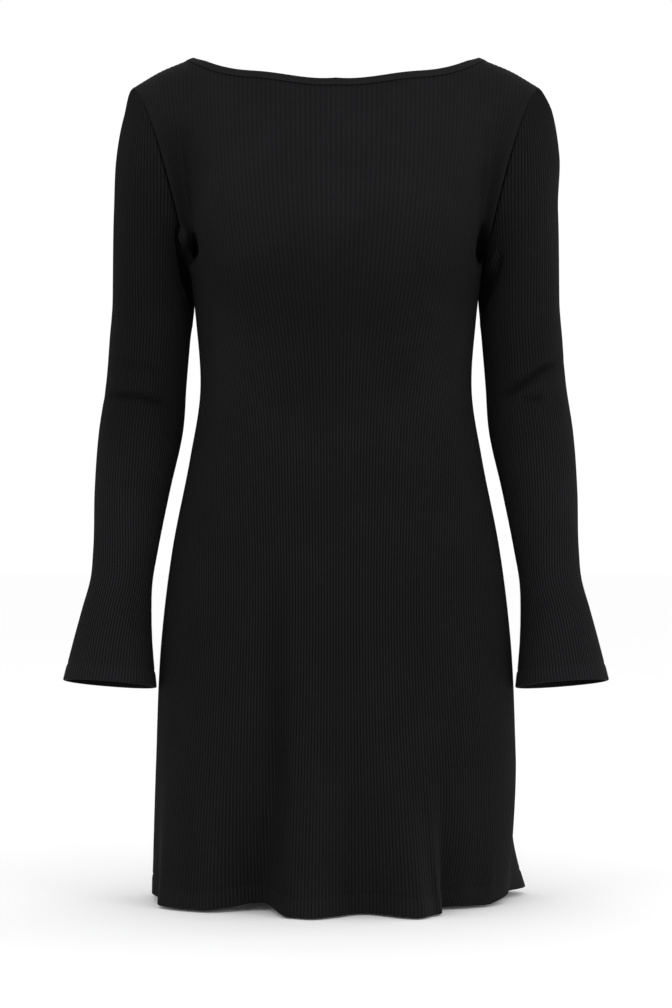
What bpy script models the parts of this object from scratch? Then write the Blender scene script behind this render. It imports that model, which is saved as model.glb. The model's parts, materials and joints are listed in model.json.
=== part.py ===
"""An a-line mini dress of black rib knit, filled out as if worn, with nobody in it.

A maker cuts five pieces: a front, a back, two set-in sleeves that flare at the cuff, and a narrow
doubled strip that binds the boat neck.  Each is a closed wall of cloth here.  Below the underarm
the front and back follow rings round the body, with folds that grow towards the hem.  Above it
their columns rise to the shoulder seams and the neck, and the last column on each side is the
armhole.  A sleeve starts on that same armhole and follows rings down the arm.

Metres, +Z up.  The front faces -Y and the wearer's left is +X.  The origin is on the shoulder
line, midway between the two neck points, where the wearer's shoulders carry the dress.
"""

from collections import namedtuple
import math

import bpy
import numpy as np

# ---------------------------------------------------------------- driving dimensions
CLOTH = 0.0015                # thickness of the rib knit
HEM_CLOTH = 0.0030            # hem and cuffs are turned up, so the cloth is double there
SEAM_GAP = 0.0003             # space between two pieces at a seam

HEM_HEIGHT = -0.841           # the dress is 0.84 m long from the neck points
HEM_TURN_UP = 0.020           # depth of the turned hem
CUFF_TURN_UP = 0.017          # depth of the turned cuff
CHEST_HEIGHT = -0.225         # centre of the ring that the upper columns rise from
UNDERARM_LIFT = 0.030         # that ring climbs this far to meet the underarm at the side seam
UNDERARM_REACH = 0.30         # share of each half panel over which it climbs
UNDERARM_CLIMB = 2.5          # power of that climb, which is steepest at the side seam
ARMHOLE_REACH = 0.25          # share of each half panel whose columns turn into the armhole

NECK_HALF_WIDTH = 0.1495      # from the centre to the panels' edge at the neck point
NECK_POINT_HEIGHT = -0.003
SHOULDER_TIP = (0.204, 0.0, -0.030)
UNDERARM = (0.148, 0.0, -0.195)
NECK_TURN = 57.5              # degrees round the panel where the neck meets the shoulder seam
SEAM_TURN = 90.0              # degrees round the panel where the side seam and armhole are
NECK_ROUNDNESS = 0.55         # power of the neck's plan; 0.5 is an ellipse

BINDING_HEIGHT = 0.0068
BINDING_THICKNESS = 0.0026
BINDING_PROUD = 0.0005        # how far the binding's outer face stands out from the panels

FOLD_LEAN = 0.30              # folds lean in towards the centre line at their tops by this share
FOLD_GROWTH = 1.4             # a fold's depth grows with this power of the drop below its top
FOLD_HIGHEST = -0.56          # the tops of the longest folds

SHOULDER_ROWS = 8             # rows between the underarm and the shoulder, columns of half a sleeve
CAP_ROWS = 6                  # rows between the armhole and the first ring of the arm
TURN_STEP = 0.01              # small steps for measuring a slope: degrees round a ring,
RISE_STEP = 0.00001           # metres up,
SHARE_STEP = 0.0001           # and a share of a column
BISECTIONS = 30               # halvings that find where a column meets the neck
SHARP_ANGLE = 40.0            # degrees past which an edge is shown sharp

# ---------------------------------------------------------------- the form, as short tables
Ring = namedtuple("Ring", "height half_width front_depth back_depth squareness")
BODY_RINGS = [
    Ring(HEM_HEIGHT, 0.1840, 0.115, 0.115, 2.40),
    Ring(-0.700, 0.1795, 0.113, 0.118, 2.40),
    Ring(-0.580, 0.1740, 0.112, 0.121, 2.35),
    Ring(-0.490, 0.1630, 0.108, 0.117, 2.30),
    Ring(-0.400, 0.1455, 0.099, 0.098, 2.30),
    Ring(-0.335, 0.1355, 0.092, 0.079, 2.30),
    Ring(-0.265, 0.1395, 0.104, 0.081, 2.30),
    Ring(-0.225, 0.1440, 0.114, 0.087, 2.30),
    Ring(-0.195, 0.1480, 0.117, 0.091, 2.30),
    Ring(-0.165, 0.1530, 0.117, 0.094, 2.30),
]

# Crests and valleys of the folds round the hem.  turn is in degrees from the middle of the panel,
# and plus is the wearer's left; out is how far the hem stands out from its plain ring, and a
# valley is negative; top is the height where the fold starts.
Fold = namedtuple("Fold", "turn out top")
FRONT_FOLDS = [
    Fold(-90.0, 0.000, -0.70),
    Fold(-79.0, -0.007, -0.66),
    Fold(-65.0, 0.004, -0.64),
    Fold(-50.0, 0.002, -0.64),
    Fold(-42.0, 0.000, -0.64),
    Fold(-21.0, -0.034, -0.56),
    Fold(-10.5, 0.020, -0.60),
    Fold(-4.5, 0.028, -0.60),
    Fold(5.5, -0.008, -0.66),
    Fold(19.5, 0.030, -0.66),
    Fold(27.5, 0.010, -0.70),
    Fold(34.3, -0.030, -0.70),
    Fold(50.0, -0.026, -0.68),
    Fold(65.0, -0.020, -0.68),
    Fold(90.0, -0.013, -0.70),
]
BACK_FOLDS = [
    Fold(-90.0, 0.000, -0.70),
    Fold(-65.0, 0.010, -0.66),
    Fold(-50.0, -0.004, -0.66),
    Fold(-36.0, -0.044, -0.60),
    Fold(-20.0, 0.018, -0.60),
    Fold(-6.0, 0.024, -0.64),
    Fold(10.0, -0.026, -0.58),
    Fold(24.0, 0.018, -0.62),
    Fold(36.0, -0.034, -0.66),
    Fold(50.0, 0.004, -0.68),
    Fold(65.0, 0.026, -0.74),
    Fold(90.0, -0.013, -0.70),
]

# How far the hem lifts round each panel, where a fold takes it back or the side seam draws it up.
HemRise = namedtuple("HemRise", "turn rise")
FRONT_HEM = [
    HemRise(-90.0, 0.0060),
    HemRise(-70.0, 0.0010),
    HemRise(-42.0, 0.0005),
    HemRise(-21.0, 0.0060),
    HemRise(-10.5, 0.0000),
    HemRise(28.0, 0.0000),
    HemRise(35.0, 0.0010),
    HemRise(60.0, 0.0005),
    HemRise(90.0, 0.0065),
]
BACK_HEM = [
    HemRise(-90.0, 0.0060),
    HemRise(-75.0, 0.0020),
    HemRise(-50.0, 0.0010),
    HemRise(-36.0, 0.0045),
    HemRise(-20.0, 0.0000),
    HemRise(10.0, 0.0030),
    HemRise(24.0, 0.0000),
    HemRise(36.0, 0.0040),
    HemRise(60.0, 0.0050),
    HemRise(90.0, 0.0065),
]

# Heights of the rows of the front and back, from the hem to the chest, where the hem is lowest.
ROW_HEIGHTS = [
    HEM_HEIGHT, HEM_HEIGHT + HEM_TURN_UP, -0.79, -0.75, -0.71, -0.67, -0.62, -0.57,
    -0.52, -0.47, -0.42, -0.38, -0.335, -0.30, -0.262, CHEST_HEIGHT,
]

# The ridge that the columns of the front and back rise to: the shoulder seam, and the line that
# would carry it on over the neck if the cloth were not cut away there.
Ridge = namedtuple("Ridge", "across height")
SHOULDER_RIDGE = [
    Ridge(0.0, 0.045),
    Ridge(0.075, 0.031),
    Ridge(0.106, 0.0175),
    Ridge(NECK_HALF_WIDTH, NECK_POINT_HEIGHT),
    Ridge(0.177, -0.0142),
    Ridge(SHOULDER_TIP[0], SHOULDER_TIP[2]),
]

# How a column leaves the chest ring and arrives at the ridge.  share is how far round the half
# panel it stands and across is where it meets the ridge; each pull is in metres: along the cloth,
# then out to the side, in towards the shoulder seam, and up.  The last row is the armhole.
Column = namedtuple("Column", "share across leave arrive_out arrive_in arrive_up")
FRONT_COLUMNS = [
    Column(0.00, 0.000, 0.250, 0.000, 0.250, 0.050),
    Column(0.30, 0.079, 0.250, 0.010, 0.250, 0.040),
    Column(NECK_TURN / SEAM_TURN, NECK_HALF_WIDTH, 0.220, 0.030, 0.210, 0.000),
    Column(0.85, 0.184, 0.200, 0.050, 0.200, 0.020),
    Column(1.00, SHOULDER_TIP[0], 0.000, 0.060, 0.200, 0.020),
]
BACK_COLUMNS = [
    Column(0.00, 0.000, 0.240, 0.000, 0.240, 0.050),
    Column(0.30, 0.079, 0.240, 0.010, 0.240, 0.040),
    Column(NECK_TURN / SEAM_TURN, NECK_HALF_WIDTH, 0.210, 0.030, 0.200, 0.005),
    Column(0.85, 0.184, 0.200, 0.045, 0.190, 0.020),
    Column(1.00, SHOULDER_TIP[0], 0.000, 0.050, 0.190, 0.020),
]

Panel = namedtuple("Panel", "name facing depth folds hem columns armhole_leave neck_depth")
FRONT = Panel("front", -1.0, "front_depth", FRONT_FOLDS, FRONT_HEM, FRONT_COLUMNS, 0.26, 0.0815)
BACK = Panel("back", 1.0, "back_depth", BACK_FOLDS, BACK_HEM, BACK_COLUMNS, 0.24, 0.0660)

# Rings of the wearer's left sleeve below its cap.  front_rise and outer_rise are how far the ring
# climbs at its front and at its outer side, because the forearm swings forward and out.
ArmRing = namedtuple("ArmRing", "height across back half_width half_depth front_rise outer_rise")
SLEEVE_RINGS = [
    ArmRing(-0.624, 0.2238, -0.030, 0.0460, 0.0400, 0.0055, 0.0035),
    ArmRing(-0.582, 0.2208, -0.025, 0.0388, 0.0365, 0.0050, 0.0025),
    ArmRing(-0.552, 0.2175, -0.021, 0.0343, 0.0345, 0.0045, 0.0020),
    ArmRing(-0.522, 0.2132, -0.017, 0.0307, 0.0340, 0.0040, 0.0015),
    ArmRing(-0.492, 0.2096, -0.012, 0.0320, 0.0365, 0.0030, 0.0010),
    ArmRing(-0.432, 0.2035, -0.001, 0.0375, 0.0430, 0.0010, 0.0005),
    ArmRing(-0.372, 0.1951, 0.006, 0.0420, 0.0480, 0.0000, 0.0000),
    ArmRing(-0.327, 0.1899, 0.004, 0.0402, 0.0500, 0.0000, 0.0000),
    ArmRing(-0.267, 0.1848, 0.000, 0.0403, 0.0520, 0.0000, 0.0000),
]
ARM_HEIGHTS = [
    -0.624, -0.624 + CUFF_TURN_UP, -0.582, -0.566, -0.552, -0.537, -0.522, -0.507, -0.492, -0.462,
    -0.432, -0.402, -0.385, -0.372, -0.350, -0.327, -0.300, -0.267,
]

# How the sleeve cap leaves the armhole and arrives at the arm's first ring, round the armhole
# from the shoulder tip (0) over the front (90) to the underarm (180), and back over the rear.
Cap = namedtuple("Cap", "turn leave_out leave_forward leave_down arrive_out arrive_forward arrive_down")
CAP_PULLS = [
    Cap(0.0, 0.085, 0.000, 0.140, 0.008, 0.000, 0.240),
    Cap(90.0, 0.085, 0.010, 0.100, 0.000, -0.004, 0.150),
    Cap(180.0, 0.014, 0.000, 0.040, -0.004, 0.000, 0.070),
]


# ---------------------------------------------------------------- curves
def smooth_step(share):
    """Ease from 0 to 1 with level ends."""
    share = np.clip(share, 0.0, 1.0)
    return share * share * (3.0 - 2.0 * share)


def hermite(start, end, leave, arrive, share):
    """Cubic from start to end that leaves and arrives with the given pulls."""
    square = share * share
    cube = square * share
    return ((2.0 * cube - 3.0 * square + 1.0) * start + (cube - 2.0 * square + share) * leave
            + (3.0 * square - 2.0 * cube) * end + (cube - square) * arrive)


def along(table, column, places):
    """One column of a table, read as a smooth curve over its first column."""
    stations = np.array([row[0] for row in table])
    values = np.array([getattr(row, column) for row in table])
    slopes = np.gradient(values, stations)
    places = np.asarray(places, dtype=float)
    index = np.clip(np.searchsorted(stations, places) - 1, 0, len(stations) - 2)
    span = stations[index + 1] - stations[index]
    share = (places - stations[index]) / span
    return hermite(values[index], values[index + 1], slopes[index] * span, slopes[index + 1] * span, share)


def unit(vectors):
    return vectors / np.linalg.norm(vectors, axis=-1, keepdims=True)


def points(x, y, z):
    """Stack three coordinate arrays, each as wide as the widest, into points."""
    return np.stack(np.broadcast_arrays(x, y, z), axis=-1).astype(float)


# ---------------------------------------------------------------- front and back
def fold_out(folds, heights, turns):
    """How far the folds push the cloth out of its plain ring."""
    drop = (heights - HEM_HEIGHT) / (FOLD_HIGHEST - HEM_HEIGHT)
    lean = FOLD_LEAN * np.clip(drop, 0.0, 1.0)
    outs = []
    centres = []
    for fold in folds:
        grown = np.clip((fold.top - heights) / (fold.top - HEM_HEIGHT), 0.0, 1.0)
        outs.append(fold.out * grown ** FOLD_GROWTH)
        centres.append(fold.turn * (1.0 - lean * (1.0 - (fold.turn / SEAM_TURN) ** 2)))
    total = outs[0] + 0.0 * turns
    for here in range(len(folds) - 1):
        share = (turns - centres[here]) / (centres[here + 1] - centres[here])
        total = total + (outs[here + 1] - outs[here]) * smooth_step(share)
    return total


def body_point(panel, heights, turns):
    """Point of a panel on the ring at a height, a turn away from the panel's middle."""
    half_width = along(BODY_RINGS, "half_width", heights)
    depth = along(BODY_RINGS, panel.depth, heights)
    squareness = along(BODY_RINGS, "squareness", heights)
    across = np.sin(np.radians(turns))
    outward = np.cos(np.radians(turns))
    plain_x = np.sign(across) * np.abs(across) ** (2.0 / squareness)
    plain_y = np.sign(outward) * np.abs(outward) ** (2.0 / squareness)
    normal_x = np.sign(plain_x) * np.abs(plain_x) ** (squareness - 1.0) / half_width
    normal_y = np.sign(plain_y) * np.abs(plain_y) ** (squareness - 1.0) / depth
    size = np.hypot(normal_x, normal_y)
    out = fold_out(panel.folds, heights, turns)
    x = half_width * plain_x + out * normal_x / size
    y = panel.facing * (depth * plain_y + out * normal_y / size)
    return points(x, y, heights)


def ring_normal(panel, heights, turns):
    """Level direction out of the cloth at a point of a ring."""
    ahead = body_point(panel, heights, turns + TURN_STEP)
    behind = body_point(panel, heights, turns - TURN_STEP)
    run = ahead - behind
    return unit(points(-panel.facing * run[..., 1], panel.facing * run[..., 0], 0.0 * heights))


def column_turns(panel):
    """Turns of a panel's columns: each fold's crest or valley, and halfway between."""
    turns = [fold.turn for fold in panel.folds]
    halfway = [(left + right) / 2.0 for left, right in zip(turns, turns[1:])]
    return np.array(sorted(turns + halfway))


def hem_row(panel, turns):
    """Height of the hem, which lifts a little where a fold takes it back."""
    total = HEM_HEIGHT + panel.hem[0].rise + 0.0 * turns
    for here, there in zip(panel.hem, panel.hem[1:]):
        total = total + (there.rise - here.rise) * smooth_step((turns - here.turn) / (there.turn - here.turn))
    return total


def chest_row(turns):
    """Height of the chest ring, which climbs to the underarm at the side seams."""
    share = np.abs(turns) / SEAM_TURN
    climb = np.clip((share - 1.0 + UNDERARM_REACH) / UNDERARM_REACH, 0.0, 1.0) ** UNDERARM_CLIMB
    return CHEST_HEIGHT + UNDERARM_LIFT * climb


def ridge_point(panel, turns):
    """Point of the shoulder ridge that a column rises to."""
    across = along(panel.columns, "across", np.abs(turns) / SEAM_TURN)
    return points(np.sign(turns) * across, 0.0, along(SHOULDER_RIDGE, "height", across))


def column_pulls(panel, turns):
    """Pulls of the upper columns at the chest ring and at the ridge."""
    shares = np.abs(turns) / SEAM_TURN
    heights = chest_row(turns)
    upward = body_point(panel, heights + RISE_STEP, turns)
    upward = upward - body_point(panel, heights - RISE_STEP, turns)
    at_armhole = smooth_step((shares - 1.0 + ARMHOLE_REACH) / ARMHOLE_REACH)[..., None]
    leave = unit(upward) * along(panel.columns, "leave", shares)[..., None] * (1.0 - at_armhole)
    leave = leave + points(0.0, panel.facing * panel.armhole_leave, 0.0) * at_armhole
    arrive = points(
        np.sign(turns) * along(panel.columns, "arrive_out", shares),
        -panel.facing * along(panel.columns, "arrive_in", shares),
        along(panel.columns, "arrive_up", shares),
    )
    return leave, arrive


def upper_point(panel, turns, shares):
    """Point above the chest ring, a share of the way up its column to the ridge."""
    leave, arrive = column_pulls(panel, turns)
    start = body_point(panel, chest_row(turns), turns)
    return hermite(start, ridge_point(panel, turns), leave, arrive, shares[..., None])


def neck_cut(panel, turns):
    """Share of each column that is left below the neck; all of it under the shoulder seam."""
    low = np.zeros(len(turns))
    high = np.ones(len(turns))
    for _ in range(BISECTIONS):
        middle = (low + high) / 2.0
        here = upper_point(panel, turns, middle)
        across = np.clip(np.abs(here[:, 0]) / NECK_HALF_WIDTH, 0.0, 1.0)
        plan = panel.neck_depth * (1.0 - across ** 2) ** NECK_ROUNDNESS
        outside = np.abs(here[:, 1]) > plan
        low = np.where(outside, middle, low)
        high = np.where(outside, high, middle)
    return np.where(np.abs(turns) >= NECK_TURN, 1.0, (low + high) / 2.0)


def upper_normal(panel, turns, shares):
    """Direction out of the cloth above the chest ring."""
    up = upper_point(panel, turns, shares + SHARE_STEP)
    up = up - upper_point(panel, turns, shares - SHARE_STEP)
    sideways = upper_point(panel, turns + TURN_STEP, shares)
    sideways = sideways - upper_point(panel, turns - TURN_STEP, shares)
    return unit(np.cross(sideways, up)) * -panel.facing


def neck_edge(panel, turns):
    """Points of the panel's neck edge and the directions out of the cloth there."""
    cut = neck_cut(panel, turns)
    normals = upper_normal(panel, turns, cut)
    for side in (-1.0, 1.0):
        normals[side * turns >= NECK_TURN] = shoulder_normal(side)
    return upper_point(panel, turns, cut), normals


def armhole_point(panel, side, shares):
    """Point of the armhole from the underarm (0) to the shoulder tip (1)."""
    turns = np.full(np.shape(shares), side * SEAM_TURN)
    return upper_point(panel, turns, np.asarray(shares, dtype=float))


def armhole_frame(panel, side, shares):
    """Directions out of the cloth and across the seam, towards the sleeve, along the armhole."""
    here = armhole_point(panel, side, shares)
    ahead = armhole_point(panel, side, np.minimum(shares + SHARE_STEP, 1.0))
    behind = armhole_point(panel, side, np.maximum(shares - SHARE_STEP, 0.0))
    tangent = unit(ahead - behind)
    tangent[shares <= 0.0] = (0.0, panel.facing, 0.0)
    tangent[shares >= 1.0] = (0.0, -panel.facing, 0.0)
    tip = np.array(SHOULDER_TIP) * (side, 1.0, 1.0)
    underarm = np.array(UNDERARM) * (side, 1.0, 1.0)
    radial = here - (tip + underarm) / 2.0
    radial = radial - tangent * np.sum(radial * tangent, axis=-1, keepdims=True)
    normal = unit(radial)
    across = np.cross(tangent, normal)
    across = across * np.sign(across[..., :1] * side)
    return normal, across


def shoulder_normal(side):
    """Direction out of the cloth along the shoulder seam."""
    run = np.array(SHOULDER_TIP) - np.array((NECK_HALF_WIDTH, 0.0, NECK_POINT_HEIGHT))
    return unit(np.array((-side * run[2], 0.0, run[0])))


def grid_normals(grid, outward_sign):
    """Directions out of a grid of points, from its rows and columns."""
    up = np.gradient(grid, axis=0)
    along_row = np.gradient(grid, axis=1)
    return unit(np.cross(along_row, up)) * outward_sign


def panel_grid(panel):
    """Points of a panel's outer face, directions out of it, and its wall's thickness."""
    turns = column_turns(panel)
    hem = hem_row(panel, turns)
    chest = chest_row(turns)
    rows = []
    normals = []
    for height in ROW_HEIGHTS:
        share = (height - HEM_HEIGHT) / (CHEST_HEIGHT - HEM_HEIGHT)
        heights = hem + share * (chest - hem)
        rows.append(body_point(panel, heights, turns))
        normals.append(ring_normal(panel, heights, turns))
    shares = np.linspace(0.0, 1.0, SHOULDER_ROWS + 1)
    cut = neck_cut(panel, turns)
    for share in shares[1:]:
        rows.append(upper_point(panel, turns, share * cut))
        normals.append(upper_normal(panel, turns, share * cut))
    grid = np.array(rows)
    directions = np.array(normals)
    gaps = np.zeros_like(grid)
    for column, side in ((0, -1.0), (-1, 1.0)):
        seam = np.abs(turns) >= NECK_TURN
        seam &= np.sign(turns) == side
        directions[-1][seam] = shoulder_normal(side)
        gaps[-1][seam] += (0.0, panel.facing, 0.0)
        gaps[:len(ROW_HEIGHTS), column] += (0.0, panel.facing, 0.0)
        normal, across = armhole_frame(panel, side, shares)
        directions[len(ROW_HEIGHTS) - 1:, column] = normal
        gaps[len(ROW_HEIGHTS) - 1:, column] -= across
    wall = np.full(grid.shape[:2], CLOTH)
    wall[:2] = HEM_CLOTH
    return grid + gaps * SEAM_GAP / 2.0, directions, wall


# ---------------------------------------------------------------- sleeves
def sleeve_ring(heights, turns):
    """Point of the left sleeve's ring; a turn of 0 is its outer side and 90 its front."""
    outer = np.cos(np.radians(turns))
    front = np.sin(np.radians(turns))
    x = along(SLEEVE_RINGS, "across", heights) + along(SLEEVE_RINGS, "half_width", heights) * outer
    y = along(SLEEVE_RINGS, "back", heights) - along(SLEEVE_RINGS, "half_depth", heights) * front
    rise = along(SLEEVE_RINGS, "front_rise", heights) * front
    rise = rise + along(SLEEVE_RINGS, "outer_rise", heights) * outer
    return points(x, y, heights + rise)


def armhole_loop():
    """The left armhole as a closed loop that matches the panels' rows: the shoulder tip, the
    front, the underarm, the back; with its directions and the turn of each point."""
    down = np.linspace(1.0, 0.0, SHOULDER_ROWS + 1)
    front = armhole_point(FRONT, 1.0, down)
    back = armhole_point(BACK, 1.0, down[::-1])
    front_normal, front_across = armhole_frame(FRONT, 1.0, down)
    back_normal, back_across = armhole_frame(BACK, 1.0, down[::-1])
    loop = np.concatenate((front, back[1:-1]))
    normals = np.concatenate((front_normal, back_normal[1:-1]))
    across = np.concatenate((front_across, back_across[1:-1]))
    turns = np.arange(2 * SHOULDER_ROWS) * 180.0 / SHOULDER_ROWS
    return loop, normals, across, turns


def cap_pull(column, turns):
    """One pull of the sleeve cap round the armhole; the rear mirrors the front."""
    mirrored = np.where(turns > 180.0, 360.0 - turns, turns)
    values = [getattr(row, column) for row in CAP_PULLS]
    first = smooth_step(mirrored / 90.0)
    second = smooth_step((mirrored - 90.0) / 90.0)
    return values[0] + (values[1] - values[0]) * first + (values[2] - values[1]) * second


def sleeve_grid():
    """Points of the left sleeve's outer face from the cuff to the armhole, as a closed tube."""
    loop, loop_normals, across, turns = armhole_loop()
    rear = np.where(turns > 180.0, -1.0, 1.0)
    leave = points(
        cap_pull("leave_out", turns),
        -rear * cap_pull("leave_forward", turns),
        -cap_pull("leave_down", turns),
    )
    arrive = points(
        cap_pull("arrive_out", turns),
        -rear * cap_pull("arrive_forward", turns),
        -cap_pull("arrive_down", turns),
    )
    rows = [sleeve_ring(np.full(len(turns), height), turns) for height in ARM_HEIGHTS]
    for share in np.linspace(1.0, 0.0, CAP_ROWS + 1)[1:]:
        rows.append(hermite(loop, rows[len(ARM_HEIGHTS) - 1], leave, arrive, share))
    grid = np.array(rows)
    wrapped = np.concatenate((grid[:, -1:], grid, grid[:, :1]), axis=1)
    directions = grid_normals(wrapped, -1.0)[:, 1:-1]
    directions[-1] = loop_normals
    grid[-1] = grid[-1] + across * SEAM_GAP / 2.0
    wall = np.full(grid.shape[:2], CLOTH)
    wall[:2] = HEM_CLOTH
    return grid, directions, wall


# ---------------------------------------------------------------- neck binding
def binding_rings():
    """Closed sections of the neck binding, one at each column of the panels' neck edges."""
    front_turns = column_turns(FRONT)
    front_turns = front_turns[np.abs(front_turns) <= NECK_TURN]
    back_turns = column_turns(BACK)[::-1]
    back_turns = back_turns[np.abs(back_turns) < NECK_TURN]
    front_edge, front_normals = neck_edge(FRONT, front_turns)
    back_edge, back_normals = neck_edge(BACK, back_turns)
    edge = np.concatenate((front_edge, back_edge))
    normals = np.concatenate((front_normals, back_normals))
    run = unit(np.roll(edge, -1, axis=0) - np.roll(edge, 1, axis=0))
    rise = unit(np.cross(normals, run))
    rise = rise * np.sign(rise[:, 2:3])
    normals = unit(np.cross(run, rise))
    outer = BINDING_PROUD
    inner = BINDING_PROUD - BINDING_THICKNESS
    middle = (outer + inner) / 2.0
    foot = SEAM_GAP
    top = SEAM_GAP + BINDING_HEIGHT
    shoulder = top - BINDING_THICKNESS / 2.0
    outline = [(outer, foot), (outer, shoulder), (middle, top), (inner, shoulder), (inner, foot)]
    return np.array([edge + normals * out + rise * up for out, up in outline]).transpose(1, 0, 2)


# ---------------------------------------------------------------- Blender objects
def clear_scene():
    for thing in list(bpy.data.objects):
        bpy.data.objects.remove(thing, do_unlink=True)


def knit_material(name, colour, roughness):
    material = bpy.data.materials.new(name)
    material.use_nodes = True
    shader = material.node_tree.nodes["Principled BSDF"]
    shader.inputs["Base Color"].default_value = (*colour, 1.0)
    shader.inputs["Roughness"].default_value = roughness
    shader.inputs["Metallic"].default_value = 0.0
    return material


def add_object(name, vertices, faces, material):
    mesh = bpy.data.meshes.new(name)
    mesh.from_pydata([tuple(vertex) for vertex in vertices], [], faces)
    mesh.materials.append(material)
    mesh.update()
    mesh.shade_smooth()
    mesh.set_sharp_from_angle(angle=math.radians(SHARP_ANGLE))
    thing = bpy.data.objects.new(name, mesh)
    bpy.context.scene.collection.objects.link(thing)
    return thing


def add_wall(name, grid, directions, wall, tube, material):
    """A closed wall of cloth: the outer face, the inner face and the rims that join them."""
    row_count, column_count = grid.shape[:2]
    inner = grid - directions * wall[..., None]
    vertices = list(grid.reshape(-1, 3)) + list(inner.reshape(-1, 3))
    layer = row_count * column_count
    span = column_count if tube else column_count - 1

    def at(row, column, face):
        return face * layer + row * column_count + column % column_count

    faces = []
    for row in range(row_count - 1):
        for column in range(span):
            quad = [at(row, column, 0), at(row, column + 1, 0)]
            quad += [at(row + 1, column + 1, 0), at(row + 1, column, 0)]
            faces.append(quad)
            faces.append([corner + layer for corner in reversed(quad)])
    for column in range(span):
        for row, order in ((0, 1), (row_count - 1, -1)):
            rim = [at(row, column, 0), at(row, column, 1), at(row, column + 1, 1), at(row, column + 1, 0)]
            faces.append(rim[::order])
    if not tube:
        for row in range(row_count - 1):
            for column, order in ((0, -1), (column_count - 1, 1)):
                rim = [at(row, column, 0), at(row, column, 1), at(row + 1, column, 1), at(row + 1, column, 0)]
                faces.append(rim[::order])
    return add_object(name, vertices, faces, material)


def build_panels(material):
    for panel in (FRONT, BACK):
        grid, directions, wall = panel_grid(panel)
        if panel is BACK:
            grid, directions, wall = grid[:, ::-1], directions[:, ::-1], wall[:, ::-1]
        add_wall(panel.name, grid, directions, wall, False, material)


def build_sleeves(material):
    grid, directions, wall = sleeve_grid()
    add_wall("sleeve_left", grid[:, ::-1], directions[:, ::-1], wall, True, material)
    mirror = (-1.0, 1.0, 1.0)
    add_wall("sleeve_right", grid * mirror, directions * mirror, wall, True, material)


def build_binding(material):
    rings = binding_rings()
    ring_count, corner_count = rings.shape[:2]
    faces = []
    for ring in range(ring_count):
        for corner in range(corner_count):
            after = (ring + 1) % ring_count
            beside = (corner + 1) % corner_count
            quad = [ring * corner_count + corner, after * corner_count + corner]
            quad += [after * corner_count + beside, ring * corner_count + beside]
            faces.append(quad)
    add_object("neck_binding", rings.reshape(-1, 3), faces, material)


def main():
    clear_scene()
    build_panels(knit_material("body_rib_knit", (0.008, 0.008, 0.0087), 0.85))
    build_sleeves(knit_material("sleeve_rib_knit", (0.008, 0.008, 0.0087), 0.85))
    build_binding(knit_material("binding_knit", (0.010, 0.010, 0.0108), 0.82))


main()
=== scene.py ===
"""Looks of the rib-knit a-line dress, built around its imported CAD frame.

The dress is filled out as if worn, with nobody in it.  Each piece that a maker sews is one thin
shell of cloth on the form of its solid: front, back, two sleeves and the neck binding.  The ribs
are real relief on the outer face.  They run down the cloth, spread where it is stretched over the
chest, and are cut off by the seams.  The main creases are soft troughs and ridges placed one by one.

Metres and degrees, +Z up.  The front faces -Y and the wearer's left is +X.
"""

from collections import namedtuple
from functools import partial
import json
import math

import bpy
import numpy as np
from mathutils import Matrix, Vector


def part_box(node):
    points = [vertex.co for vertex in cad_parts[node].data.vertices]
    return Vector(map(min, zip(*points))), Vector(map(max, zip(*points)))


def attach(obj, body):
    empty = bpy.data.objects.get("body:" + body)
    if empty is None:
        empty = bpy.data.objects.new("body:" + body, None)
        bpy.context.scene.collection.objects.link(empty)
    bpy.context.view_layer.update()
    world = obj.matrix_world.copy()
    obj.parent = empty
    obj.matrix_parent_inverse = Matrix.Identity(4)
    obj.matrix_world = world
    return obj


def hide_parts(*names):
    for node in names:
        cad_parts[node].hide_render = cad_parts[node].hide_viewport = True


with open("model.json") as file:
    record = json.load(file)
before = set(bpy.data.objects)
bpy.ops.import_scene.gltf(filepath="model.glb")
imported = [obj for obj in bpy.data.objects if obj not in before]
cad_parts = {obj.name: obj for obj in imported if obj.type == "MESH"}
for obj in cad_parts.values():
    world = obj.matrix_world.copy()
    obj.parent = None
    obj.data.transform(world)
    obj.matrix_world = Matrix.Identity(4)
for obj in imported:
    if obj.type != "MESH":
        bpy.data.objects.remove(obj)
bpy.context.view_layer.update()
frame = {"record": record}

# ------------------------ sizes
HEM_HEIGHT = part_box("front")[0].z
CLOTH = 0.0015  # thickness of the rib knit
HEM_CLOTH = 0.0030  # where it is turned up at the hem and cuffs
HEM_TURN_UP = 0.020
CUFF_TURN_UP = 0.017
SEAM_GAP = 0.0003  # between two pieces at a seam
SEAM_GAP_FADE = 0.002

CHEST_HEIGHT = -0.225  # middle of the ring that the upper columns rise from
UNDERARM_LIFT = 0.030  # that ring climbs this far to meet the underarm at the side seam
UNDERARM_REACH = 0.30  # share of each half panel over which it climbs
UNDERARM_CLIMB = 2.5  # power of that climb
ARMHOLE_REACH = 0.25  # share of each half panel whose columns turn into the armhole
NECK_HALF_WIDTH = 0.1495
NECK_POINT_HEIGHT = -0.003
SHOULDER_TIP = (0.204, 0.0, -0.030)
NECK_TURN = 57.5  # degrees round the panel where the neck meets the shoulder seam
SEAM_TURN = 90.0  # degrees round the panel where the side seam and armhole are
NECK_ROUNDNESS = 0.55
FOLD_LEAN = 0.30  # share by which the hem's folds lean to the middle higher up
FOLD_GROWTH = 1.4  # power by which they open towards the hem
FOLD_HIGHEST = -0.56

TURN_STEP = 0.02  # small steps for measuring a slope: degrees round a ring
ROW_STEP = 0.0005  # and a share of a column
RISE_STEP = 0.00001  # and metres up
BISECTIONS = 30
RULER = 721  # points along a row for measuring its length
FAR = 1.0  # metres that stand for far from any seam


def table(columns, *rows):
    """Rows of numbers with named columns."""
    kind = namedtuple("Row", columns)
    return [kind(*row) for row in rows]


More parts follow.
